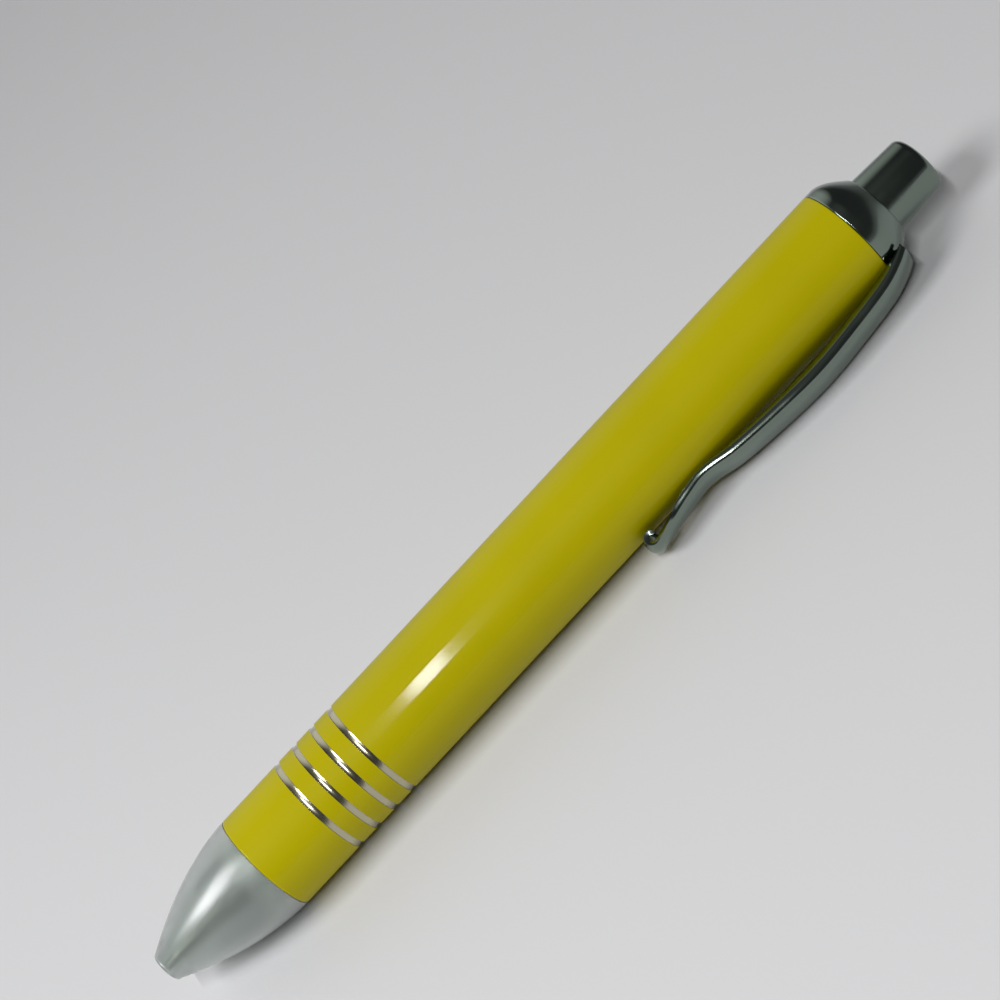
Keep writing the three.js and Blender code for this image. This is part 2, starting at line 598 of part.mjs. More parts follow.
// Pocket clip: a formed steel channel, flared and curled under at its foot, with a tang in the cap
function pocketClip() {
  const face = clipCurve.getSpacedPoints(CLIP_STEPS);
  const inside = face.map((point, i) => {
    const way = clipCurve.getTangentAt(i / CLIP_STEPS);
    return new THREE.Vector2(point.x + way.y * CLIP_THICKNESS, point.y - way.x * CLIP_THICKNESS);
  });
  const foot = clipCurve.getTangentAt(0);
  const curl = (radius) => {
    const centre = new THREE.Vector2(face[0].x + foot.y * CLIP_CURL_RADIUS,
      face[0].y - foot.x * CLIP_CURL_RADIUS);
    const start = Math.atan2(foot.x, -foot.y);
    return Array.from({ length: CLIP_CURL_STEPS }, (_, i) => {
      const angle = start + THREE.MathUtils.degToRad((CLIP_CURL_TURN * (i + 1)) / CLIP_CURL_STEPS);
      return new THREE.Vector2(centre.x + radius * Math.cos(angle), centre.y + radius * Math.sin(angle));
    });
  };
  const outerCurl = curl(CLIP_CURL_RADIUS);
  const innerCurl = curl(CLIP_CURL_RADIUS - CLIP_THICKNESS);
  const roofOutline = [...face.toReversed(), ...outerCurl, ...innerCurl.toReversed(), ...inside];
  const roof = acrossClip(roofOutline, CLIP_CROWN_STEPS, (station, share) =>
    [share * clipHalfWidth(station), CLIP_CROWN * share * share]);
  const walled = face.slice(CLIP_WALL_FIRST_STEP);
  const top = walled.map((point, i) => {
    const below = inside[i + CLIP_WALL_FIRST_STEP];
    return new THREE.Vector2((point.x + below.x) / 2, (point.y + below.y) / 2 - CLIP_CROWN);
  });
  const bottom = walled.map((point) => new THREE.Vector2(point.x, clipWallFoot(point)));
  const walls = [-1, 1].map((side) => acrossClip([...top.toReversed(), ...bottom], 1,
    (station, share) => [side * (clipHalfWidth(station) - (CLIP_THICKNESS * (1 + share)) / 2), 0]));
  const tang = clipTang();
  const tangTop = CLIP_FACE.at(-1)[1] - CLIP_CROWN;
  const leg = new THREE.BoxGeometry(CLIP_TANG_LENGTH, 2 * CLIP_TANG_HALF_WIDTH, tangTop - tang.foot);
  leg.translate(tang.middle, 0, (tangTop + tang.foot) / 2);
  return atClip(joined(roof, ...walls, leg));
}

// Push button: a slim chrome thimble with a stop flange inside the cap
function pushButton() {
  const flangeFront = FLANGE_REAR - BUTTON_FLANGE_THICKNESS;
  const crown = BUTTON_END - BUTTON_CROWN;
  const points = [
    [crown, 0],
    [crown, BUTTON_HOLLOW_RADIUS - BUTTON_HOLLOW_EDGE],
    [crown - BUTTON_HOLLOW_EDGE, BUTTON_HOLLOW_RADIUS],
    [BUTTON_FRONT, BUTTON_HOLLOW_RADIUS],
    [BUTTON_FRONT, BUTTON_RADIUS],
    [flangeFront, BUTTON_RADIUS],
    [flangeFront, BUTTON_FLANGE_RADIUS],
    [FLANGE_REAR, BUTTON_FLANGE_RADIUS],
    [FLANGE_REAR, BUTTON_RADIUS],
    [CAP_END, BUTTON_RADIUS],
  ];
  for (let i = 0; i <= EDGE_STEPS; i += 1) {
    const angle = (Math.PI / 2) * (i / EDGE_STEPS);
    points.push([
      BUTTON_END - BUTTON_EDGE * (1 - Math.sin(angle)),
      BUTTON_END_RADIUS - BUTTON_EDGE * (1 - Math.cos(angle)),
    ]);
  }
  points.push([BUTTON_END, 0]);
  return turned(points, OUTER_SIDES);
}

// Lamp: a 3 mm LED with a round dome and a flange at its base
function ledLamp() {
  const base = LAMP_FRONT + LAMP_LENGTH;
  const points = [[LAMP_FRONT, 0]];
  for (let i = 1; i <= EDGE_STEPS; i += 1) {
    const angle = (Math.PI / 2) * (i / EDGE_STEPS);
    points.push([LAMP_FRONT + LAMP_DOME_LENGTH * (1 - Math.cos(angle)), LAMP_RADIUS * Math.sin(angle)]);
  }
  points.push([base - LAMP_FLANGE_LENGTH, LAMP_RADIUS], [base - LAMP_FLANGE_LENGTH, LAMP_FLANGE_RADIUS],
    [base, LAMP_FLANGE_RADIUS], [base, 0]);
  return turned(points, SMALL_SIDES).translate(0, 0, LAMP_OFFSET);
}

// One lead of the lamp: back through the holder, then outwards to what it feeds
function ledLead(side, rear, top) {
  const path = new THREE.CatmullRomCurve3([
    new THREE.Vector3(HOLDER_FRONT + SEAT_GAP, 0, LEAD_HEIGHT),
    new THREE.Vector3(rear - LEAD_BEND_START, 0, LEAD_HEIGHT),
    new THREE.Vector3(rear - LEAD_BEND_MIDDLE, 0, LEAD_HEIGHT + LEAD_BEND_RISE),
    new THREE.Vector3(rear - LEAD_BEND_END, 0, (LEAD_HEIGHT + top) / 2),
    new THREE.Vector3(rear, 0, top),
  ]);
  const outline = new THREE.Shape();
  outline.absarc(0, 0, LEAD_RADIUS, 0, 2 * Math.PI, false);
  const lead = new THREE.ExtrudeGeometry(outline, {
    steps: LEAD_STEPS, curveSegments: LEAD_SEGMENTS, extrudePath: path, bevelEnabled: false,
  });
  return closed(lead).rotateX(side * LEAD_TURN);
}

// Lamp holder: fills the nose's spigot, carries the lamp and seats the return spring
function ledHolder() {
  const bore = REFILL_RADIUS + RUNNING_GAP;
  const springBore = SPRING_COIL_RADIUS + SPRING_WIRE / 2 + RUNNING_GAP;
  const body = turned([
    [HOLDER_FRONT, bore],
    [HOLDER_FRONT, HOLDER_RADIUS],
    [HOLDER_SHOULDER, HOLDER_RADIUS],
    [HOLDER_SHOULDER, LINER_RADIUS],
    [HOLDER_REAR, LINER_RADIUS],
    [HOLDER_REAR, springBore],
    [SPRING_SEAT_STATION, springBore],
    [SPRING_SEAT_STATION, bore],
  ]);
  const holes = [-1, 1].map((side) =>
    rod(HOLDER_FRONT - CUTTER_MARGIN, HOLDER_REAR + CUTTER_MARGIN, LEAD_RADIUS + RUNNING_GAP, HOLE_SIDES)
      .translate(0, 0, LEAD_HEIGHT)
      .rotateX(side * LEAD_TURN));
  return cut(body, ...holes);
}

// A box between two stations and two heights, of a given half width
function block(front, rear, low, high, halfWidth) {
  const box = new THREE.BoxGeometry(rear - front, 2 * halfWidth, high - low);
  return closed(box.translate((front + rear) / 2, 0, (low + high) / 2));
}

// Carrier: the liner tube between the lamp holder and the click guide. It is stepped down for the
// earth ring, grooved for the strip, and open where the leads and the sliding contacts reach through.
function innerCarrier() {
  const stepRear = EARTH_FRONT + EARTH_LENGTH + RUNNING_GAP;
  const body = turned([
    [CARRIER_FRONT, CARRIER_BORE],
    [CARRIER_FRONT, EARTH_INNER_RADIUS - SEAT_GAP],
    [stepRear, EARTH_INNER_RADIUS - SEAT_GAP],
    [stepRear, LINER_RADIUS],
    [CARRIER_REAR, LINER_RADIUS],
    [CARRIER_REAR, CARRIER_BORE],
  ]);
  const through = LINER_RADIUS + CUTTER_MARGIN;
  const under = CARRIER_BORE - CUTTER_MARGIN;
  const side = STRIP_WIDTH / 2 + RUNNING_GAP;
  const groove = block(STRIP_FRONT - RUNNING_GAP, STRIP_REAR + RUNNING_GAP,
    STRIP_HEIGHT - SEAT_GAP, through, side);
  const leadHole = block(STRIP_FRONT, STRIP_FRONT + 2 * LEAD_REACH, under, through, side / 2);
  const pressed = WIPER_MIDDLE - STROKE;
  const switchWindow = block(pressed - WIPER_LENGTH / 2, pressed + WIPER_LENGTH / 2,
    under, through, side);
  const earthHole = block(CARRIER_FRONT - CUTTER_MARGIN, EARTH_FRONT + EARTH_LENGTH, under, through,
    side / 2);
  const tailWindow = block(TAIL_LEAF_MIDDLE - TAIL_LEAF_LENGTH / 2 - RUNNING_GAP,
    TAIL_LEAF_MIDDLE + TAIL_LEAF_LENGTH / 2 + RUNNING_GAP, under, through, side);
  return cut(body,
    groove.rotateX(-LEAD_TURN),
    leadHole.rotateX(-LEAD_TURN),
    switchWindow.rotateX(-LEAD_TURN),
    earthHole.rotateX(LEAD_TURN),
    tailWindow.rotateX(Math.PI));
}

// Brass strip that brings the cells' current forward to the lamp
function anodeStrip() {
  return block(STRIP_FRONT, STRIP_REAR, STRIP_HEIGHT, STRIP_HEIGHT + STRIP_THICKNESS, STRIP_WIDTH / 2)
    .rotateX(-LEAD_TURN);
}

// Earth ring between the lamp's other lead and the metal barrel
function earthRing() {
  return ring(EARTH_FRONT, EARTH_FRONT + EARTH_LENGTH, EARTH_INNER_RADIUS + EARTH_WALL, EARTH_INNER_RADIUS);
}

// A bent leaf: a shallow arch of strip, drawn along the pen, its hump at the given height
function archedLeaf(middle, length, base, hump, thickness, halfWidth) {
  const height = (share) => base + (hump - base) * Math.sin(Math.PI * share) ** 2;
  const top = [];
  const bottom = [];
  const up = Math.sign(hump - base);
  for (let i = 0; i <= LEAF_STEPS; i += 1) {
    const station = middle + length * (i / LEAF_STEPS - 0.5);
    top.push(new THREE.Vector2(station, height(i / LEAF_STEPS)));
    bottom.push(new THREE.Vector2(station, height(i / LEAF_STEPS) - up * thickness));
  }
  const outline = new THREE.Shape([...top, ...bottom.reverse()]);
  const leaf = new THREE.ExtrudeGeometry(outline, { depth: 2 * halfWidth, bevelEnabled: false });
  return closed(leaf.rotateX(Math.PI / 2).translate(0, halfWidth, 0));
}

// Barrel contact: a brass leaf between the tail contact's tab and the metal barrel
function barrelContact() {
  return archedLeaf(TAIL_LEAF_MIDDLE, TAIL_LEAF_LENGTH, TAIL_LEAF_BASE, TAIL_LEAF_HUMP, LEAF_THICKNESS,
    STRIP_WIDTH / 2).rotateX(Math.PI);
}

// Sliding contact: a brass leaf on the socket, which meets the strip only when the refill is out
function slidingContact() {
  return archedLeaf(WIPER_MIDDLE, WIPER_LENGTH - 2 * RUNNING_GAP, WIPER_BASE, WIPER_HUMP, LEAF_THICKNESS,
    STRIP_WIDTH / 2).rotateX(-LEAD_TURN);
}

// Refill tip: a cone and a neck with a socket for the ball, and a tail in the refill tube
function refillTip() {
  const socket = BALL_RADIUS + BALL_GAP;
  const cone = TIP_POINT + TIP_CONE_LENGTH;
  const tail = REFILL_BORE - SEAT_GAP;
  return turned([
    [TIP_POINT + socket, 0],
    [TIP_POINT + socket, socket],
    [TIP_POINT, socket],
    [TIP_POINT, TIP_POINT_RADIUS],
    [cone, TIP_RADIUS * TIP_STEP],
    [cone, TIP_RADIUS],
    [REFILL_FRONT - SEAT_GAP, TIP_RADIUS],
    [REFILL_FRONT - SEAT_GAP, tail],
    [REFILL_FRONT + TIP_TAIL_LENGTH, tail],
    [REFILL_FRONT + TIP_TAIL_LENGTH, 0],
  ], SMALL_SIDES);
}

function refillBall() {
  return closed(new THREE.SphereGeometry(BALL_RADIUS, BALL_SIDES, BALL_RINGS).translate(TIP_POINT, 0, 0));
}

// Socket: a plastic cup that grips the refill's rear end and rides in the carrier on its flange
function refillSocket() {
  const bore = REFILL_RADIUS + SEAT_GAP;
  return turned([
    [REFILL_REAR + RUNNING_GAP, 0],
    [REFILL_REAR + RUNNING_GAP, bore],
    [SOCKET_FRONT, bore],
    [SOCKET_FRONT, bore + SOCKET_WALL],
    [SOCKET_FLANGE_FRONT, bore + SOCKET_WALL],
    [SOCKET_FLANGE_FRONT, SOCKET_FLANGE_RADIUS],
    [SOCKET_REAR, SOCKET_FLANGE_RADIUS],
    [SOCKET_REAR, 0],
  ]);
}

// Sleeve that holds the cells in a row, slotted at its rear for the tail contact
function batterySleeve() {
  const body = turned([
    [SLEEVE_STATION, SLEEVE_MOUTH_RADIUS],
    [SLEEVE_STATION, SLEEVE_RADIUS],
    [SLEEVE_END, SLEEVE_RADIUS],
    [SLEEVE_END, SLEEVE_BORE],
    [SLEEVE_STATION + SLEEVE_FLOOR, SLEEVE_BORE],
    [SLEEVE_STATION + SLEEVE_FLOOR, SLEEVE_MOUTH_RADIUS],
  ]);
  const slot = block(TAIL_STATION - 2 * SEAT_GAP, SLEEVE_END + CUTTER_MARGIN,
    SLEEVE_BORE - CUTTER_MARGIN, SLEEVE_RADIUS + CUTTER_MARGIN, TAIL_HALF_WIDTH + RUNNING_GAP);
  return cut(body, slot.rotateX(Math.PI));
}

// Front contact: a brass disc on the first cell, its stem out through the sleeve's floor
function frontContact() {
  const disc = SLEEVE_STATION + SLEEVE_FLOOR + SEAT_GAP / 2;
  const stem = SLEEVE_MOUTH_RADIUS - RUNNING_GAP;
  return turned([
    [SLEEVE_STATION, 0],
    [SLEEVE_STATION, stem],
    [disc, stem],
    [disc, CONTACT_FLANGE_RADIUS],
    [disc + CONTACT_THICKNESS, CONTACT_FLANGE_RADIUS],
    [disc + CONTACT_THICKNESS, 0],
  ]);
}

// A button cell: a can with its smaller face towards the button
function buttonCell(index) {
  const front = CELL_STACK_FRONT + index * CELL_PITCH;
  return turned([
    [front, 0],
    [front, CELL_RADIUS - CELL_EDGE],
    [front + CELL_EDGE, CELL_RADIUS],
    [front + CELL_CAN_LENGTH, CELL_RADIUS],
    [front + CELL_CAN_LENGTH, CELL_FACE_RADIUS],
    [front + CELL_LENGTH, CELL_FACE_RADIUS],
    [front + CELL_LENGTH, 0],
  ]);
}

// Tail contact: a disc behind the cells' spring with a tab that runs forward outside the sleeve
function tailContact() {
  const disc = rod(TAIL_STATION, TAIL_STATION + TAIL_THICKNESS, SLEEVE_BORE - RUNNING_GAP);
  const low = SLEEVE_RADIUS + SEAT_GAP;
  const step = block(TAIL_STATION, TAIL_STATION + TAIL_THICKNESS, SLEEVE_BORE - TAIL_ROOT_DEPTH,
    low + TAIL_THICKNESS, TAIL_HALF_WIDTH);
  const tab = block(TAIL_STATION - TAIL_TAB_LENGTH, TAIL_STATION + TAIL_THICKNESS, low,
    low + TAIL_THICKNESS, TAIL_HALF_WIDTH);
  return joined(disc, step.rotateX(Math.PI), tab.rotateX(Math.PI));
}

// The four keys of a cam, which run in the guide's slots
function camKeys(front, rear) {
  const pitch = 360 / CAM_COUNT;
  const first = GUIDE_RIB_TURN + (pitch - GUIDE_RIB_TURN - CAM_KEY_TURN) / 2;
  return Array.from({ length: CAM_COUNT }, (_, i) => {
    const start = first + pitch * i;
    return sector(CAM_RADIUS - SINK, CAM_KEY_RADIUS, start, CAM_KEY_TURN, TOOTH_STEPS, front, rear);
  });
}

// A ring of saw teeth between two functions of the way round each tooth
function sawTeeth(lead, front, rear) {
  const pitch = 360 / TOOTH_COUNT;
  return Array.from({ length: TOOTH_COUNT }, (_, i) => sector(TOOTH_INNER_RADIUS, CAM_RADIUS - SEAT_GAP,
    i * pitch + lead, pitch - lead, TOOTH_STEPS,
    (share) => front((lead + share * (pitch - lead)) / pitch),
    (share) => rear((lead + share * (pitch - lead)) / pitch)));
}

// Click guide: a fixed liner with four ribs, whose slanted front ends hold the rotor when it is out
function clickGuide() {
  const tube = ring(GUIDE_FRONT, GUIDE_END, LINER_RADIUS, GUIDE_BORE_RADIUS);
  const ribs = Array.from({ length: CAM_COUNT }, (_, i) => sector(
    GUIDE_RIB_RADIUS, GUIDE_BORE_RADIUS + SINK, (360 / CAM_COUNT) * i, GUIDE_RIB_TURN, TOOTH_STEPS,
    (share) => GUIDE_RIB_FRONT + CAM_KEY_RISE * share, () => GUIDE_END));
  return joined(tube, ...ribs);
}

// Cam rotor: saw teeth towards the plunger, four keys with slanted backs, and a boss in the sleeve
function camRotor() {
  const hub = turned([
    [ROTOR_FRONT, 0],
    [ROTOR_FRONT, ROTOR_BOSS_RADIUS],
    [ROTOR_HUB_FRONT, ROTOR_BOSS_RADIUS],
    [ROTOR_HUB_FRONT, CAM_RADIUS],
    [ROTOR_KEY_REAR, CAM_RADIUS],
    [ROTOR_KEY_REAR, 0],
  ]);
  const keys = camKeys(() => ROTOR_KEY_REAR - ROTOR_KEY_LENGTH - CAM_KEY_RISE,
    (share) => ROTOR_KEY_REAR - CAM_KEY_RISE * (1 - share));
  const teeth = sawTeeth(0, () => ROTOR_KEY_REAR - SINK, (share) => ROTOR_KEY_REAR + TOOTH_HEIGHT * share);
  return joined(hub, ...keys, ...teeth);
}

// Thrust cam: the plunger that the button drives, keyed in the guide so that it can't turn
function thrustCam() {
  const hub = turned([
    [PLUNGER_FRONT, 0],
    [PLUNGER_FRONT, CAM_RADIUS],
    [PLUNGER_HUB_REAR, CAM_RADIUS],
    [PLUNGER_HUB_REAR, PLUNGER_STEM_RADIUS],
    [PLUNGER_REAR, PLUNGER_STEM_RADIUS],
    [PLUNGER_REAR, 0],
  ]);
  const keys = camKeys((share) => PLUNGER_FRONT + CAM_KEY_RISE * share,
    () => PLUNGER_FRONT + CAM_KEY_RISE + PLUNGER_KEY_LENGTH);
  const teeth = sawTeeth(TOOTH_LEAD, (share) => ROTOR_KEY_REAR + RUNNING_GAP + TOOTH_HEIGHT * share,
    () => PLUNGER_FRONT + SINK);
  return joined(hub, ...keys, ...teeth);
}

const pen = new THREE.Group();
pen.name = 'led_light_pen';

function add(name, geometry, finish) {
  const mesh = new THREE.Mesh(geometry, finish());
  mesh.name = name;
  pen.add(mesh);
}

add('barrel', barrel(), FINISH.yellow);
add('nose_cone', noseCone(), FINISH.clear);
add('top_cap', topCap(), FINISH.chrome);
add('pocket_clip', pocketClip(), FINISH.chrome);
add('push_button', pushButton(), FINISH.chrome);
add('thrust_cam', thrustCam(), FINISH.natural);
add('cam_rotor', camRotor(), FINISH.white);
add('click_guide', clickGuide(), FINISH.natural);
add('led_lamp', ledLamp(), FINISH.lens);
add('led_anode_lead', ledLead(-1, STRIP_FRONT + LEAD_REACH, STRIP_HEIGHT - SEAT_GAP), FINISH.steel);
add('led_cathode_lead', ledLead(1, EARTH_FRONT + EARTH_LENGTH / 2, EARTH_INNER_RADIUS - SEAT_GAP),
  FINISH.steel);
add('led_holder', ledHolder(), FINISH.white);
add('inner_carrier', innerCarrier(), FINISH.white);
add('anode_strip', anodeStrip(), FINISH.brass);
add('earth_ring', earthRing(), FINISH.brass);
add('barrel_contact', barrelContact(), FINISH.brass);
add('refill_tip', refillTip(), FINISH.nickel);
add('refill_ball', refillBall(), FINISH.carbide);
add('refill_tube', ring(REFILL_FRONT, REFILL_REAR, REFILL_RADIUS, REFILL_BORE, SMALL_SIDES), FINISH.natural);
add('ink_column', rod(INK_FRONT, INK_REAR, REFILL_BORE - SEAT_GAP, SMALL_SIDES), FINISH.ink);
add('refill_collar', ring(COLLAR_STATION, COLLAR_STATION + COLLAR_LENGTH, COLLAR_RADIUS,
  REFILL_RADIUS + SEAT_GAP), FINISH.brass);
add('refill_socket', refillSocket(), FINISH.black);
add('sliding_contact', slidingContact(), FINISH.brass);
add('battery_sleeve', batterySleeve(), FINISH.natural);
add('front_contact', frontContact(), FINISH.brass);
for (let i = 0; i < CELL_COUNT; i += 1) add(`button_cell_${i + 1}`, buttonCell(i), FINISH.steel);
add('cell_spring', coilSpring('cell_spring', CELL_STACK_REAR, TAIL_STATION - SEAT_GAP,
  CELL_SPRING_COIL_RADIUS, CELL_SPRING_WIRE, CELL_SPRING_TURNS), FINISH.steel);
add('tail_contact', tailContact(), FINISH.brass);
add('return_spring', coilSpring('return_spring', SPRING_SEAT_STATION + SEAT_GAP, COLLAR_STATION - SEAT_GAP,
  SPRING_COIL_RADIUS, SPRING_WIRE, SPRING_TURNS), FINISH.steel);

// Stand the pen on the plane z = 0 with its middle over the origin
const bounds = new THREE.Box3().setFromObject(pen, true);
pen.position.set(-(bounds.min.x + bounds.max.x) / 2, -(bounds.min.y + bounds.max.y) / 2, AXIS_HEIGHT);

export default pen;
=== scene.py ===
"""Looks of a push-button ball pen with a clear nose that a lamp lights from inside.

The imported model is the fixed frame. The outer pieces, and the inner ones that show through the clear nose
or when it is off, are modelled again here with finer forms. The other nodes keep their shape and get their
finish. Stations are distances along the pen, from the nose's front face towards the button. Lengths are in
millimetres and angles in degrees, where nothing else is said.
"""
from __future__ import annotations

import logging
import math
from contextlib import contextmanager
from dataclasses import dataclass
from enum import Enum
from typing import Callable, Iterator, Sequence

import bpy
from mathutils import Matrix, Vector


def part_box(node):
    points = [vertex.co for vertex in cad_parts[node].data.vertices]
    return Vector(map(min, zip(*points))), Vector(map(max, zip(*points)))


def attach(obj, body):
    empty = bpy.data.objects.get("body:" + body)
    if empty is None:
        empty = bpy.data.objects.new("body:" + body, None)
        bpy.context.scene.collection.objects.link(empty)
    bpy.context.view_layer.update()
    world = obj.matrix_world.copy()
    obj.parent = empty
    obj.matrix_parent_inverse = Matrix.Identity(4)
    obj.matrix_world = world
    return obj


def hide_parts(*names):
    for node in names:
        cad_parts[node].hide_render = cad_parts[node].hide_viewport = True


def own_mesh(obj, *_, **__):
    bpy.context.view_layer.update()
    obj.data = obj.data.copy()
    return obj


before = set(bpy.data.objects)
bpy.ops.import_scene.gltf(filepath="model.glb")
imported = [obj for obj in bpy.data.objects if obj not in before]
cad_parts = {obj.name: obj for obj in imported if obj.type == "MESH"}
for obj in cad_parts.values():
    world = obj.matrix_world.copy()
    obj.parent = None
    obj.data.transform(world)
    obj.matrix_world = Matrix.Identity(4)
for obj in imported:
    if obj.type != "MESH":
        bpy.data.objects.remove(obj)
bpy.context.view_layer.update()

MM = 0.001
WELD = 1e-6
Colour = tuple[float, float, float]
Place = tuple[float, float, float]
Cut = tuple[float, float]
Socket = bpy.types.NodeSocket

log = logging.getLogger("light_pen")


class Body(str, Enum):
    """The bodies of the pen that move against each other."""

    BARREL = "barrel"
    NOSE = "nose"
    CLIP = "clip"
    BUTTON = "button"
    REFILL = "refill"


class Slot(str, Enum):
    """The finishes that the record names."""

    LACQUER = "yellow_lacquer"
    CLEAR = "clear_nose"
    CHROME = "chrome"
    SPRING = "spring_steel"
    CELL = "cell_steel"
    BRASS = "brass"
    NICKEL = "nickel_silver"
    CARBIDE = "carbide"
    WHITE = "white_plastic"
    NATURAL = "natural_plastic"
    BLACK = "black_plastic"
    LENS = "lamp_lens"
    INK = "blue_ink"


def shares(steps: int, first: int = 0) -> list[float]:
    """Even shares up to 1, from 0 or a later step on."""
    return [i / steps for i in range(first, steps + 1)]


def share_of(value: float, low: float, high: float) -> float:
    """How far a value has come from low to high, held between 0 and 1."""
    return min(1.0, max(0.0, (value - low) / (high - low)))


def eased(share: float) -> float:
    """The share on a curve that starts and ends gently."""
    return share * share * (3 - 2 * share)


def rounded(station: float, radius: float, size: float, start: float, end: float, steps: int) -> list[Cut]:
    """Cuts along an arc.

    Args:
        station: station of the arc's centre.
        radius: distance of the arc's centre from the axis.
        size: radius of the arc.
        start: first angle, 0 pointing to the button and 90 outwards.
        end: last angle.
        steps: number of stretches.

    Returns:
        The cuts from the first angle to the last.
    """
    angles = [math.radians(start + (end - start) * share) for share in shares(steps)]
    return [(station + size * math.cos(a), radius + size * math.sin(a)) for a in angles]


def braced(cuts: Sequence[Cut], walled: bool, turn: float = 5.0, band: float = 0.12,
           room: float = 4.0) -> list[Cut]:
    """Adds a narrow band on both sides of each corner, which keeps its rounded shading off the long faces.

    Args:
        cuts: station and radius of each ring.
        walled: True where the last ring joins the first.
        turn: corners sharper than this many degrees are braced.
        band: width of the band.
        room: stretches shorter than this many bands are left as they are.

    Returns:
        The cuts with the bands added.
    """
    count = len(cuts)
    sharp = []
    for i in range(count):
        (x0, r0), (x1, r1), (x2, r2) = cuts[i - 1], cuts[i], cuts[(i + 1) % count]
        change = math.degrees(math.atan2(r2 - r1, x2 - x1) - math.atan2(r1 - r0, x1 - x0))
        ends = not walled and i in (0, count - 1)
        sharp.append(ends or turn < abs((change + 180) % 360 - 180))
    made = []
    for i in range(count if walled else count - 1):
        k = (i + 1) % count
        (x1, r1), (x2, r2) = cuts[i], cuts[k]
        length = math.hypot(x2 - x1, r2 - r1)
        made.append(cuts[i])
        if length > room * band:
            added = [band / length] * sharp[i] + [1 - band / length] * sharp[k]
            made += [(x1 + (x2 - x1) * share, r1 + (r2 - r1) * share) for share in added]
    return made if walled else [*made, cuts[-1]]


@dataclass(frozen=True)
class PenAxis:
    """The line that all turned pieces share: where station 0 is along X, and its Y and Z, in metres."""

    front: float
    y: float
    z: float

    @classmethod
    def of_frame(cls) -> PenAxis:
        """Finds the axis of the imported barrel.

        Returns:
            The axis, with stations counted from the nose's front.
        """
        low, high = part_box("barrel")
        middle = (low + high) / 2
        return cls(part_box("nose_cone")[0].x, middle.y, middle.z)

    def x(self, station: float) -> float:
        """Place along X of a station, in metres."""
        return self.front + station * MM

    def at(self, station: float, lift: float = 0.0) -> Vector:
        """The axis's point at a station, or one some way above it, in metres."""
        return Vector((self.x(station), self.y, self.z + lift * MM))


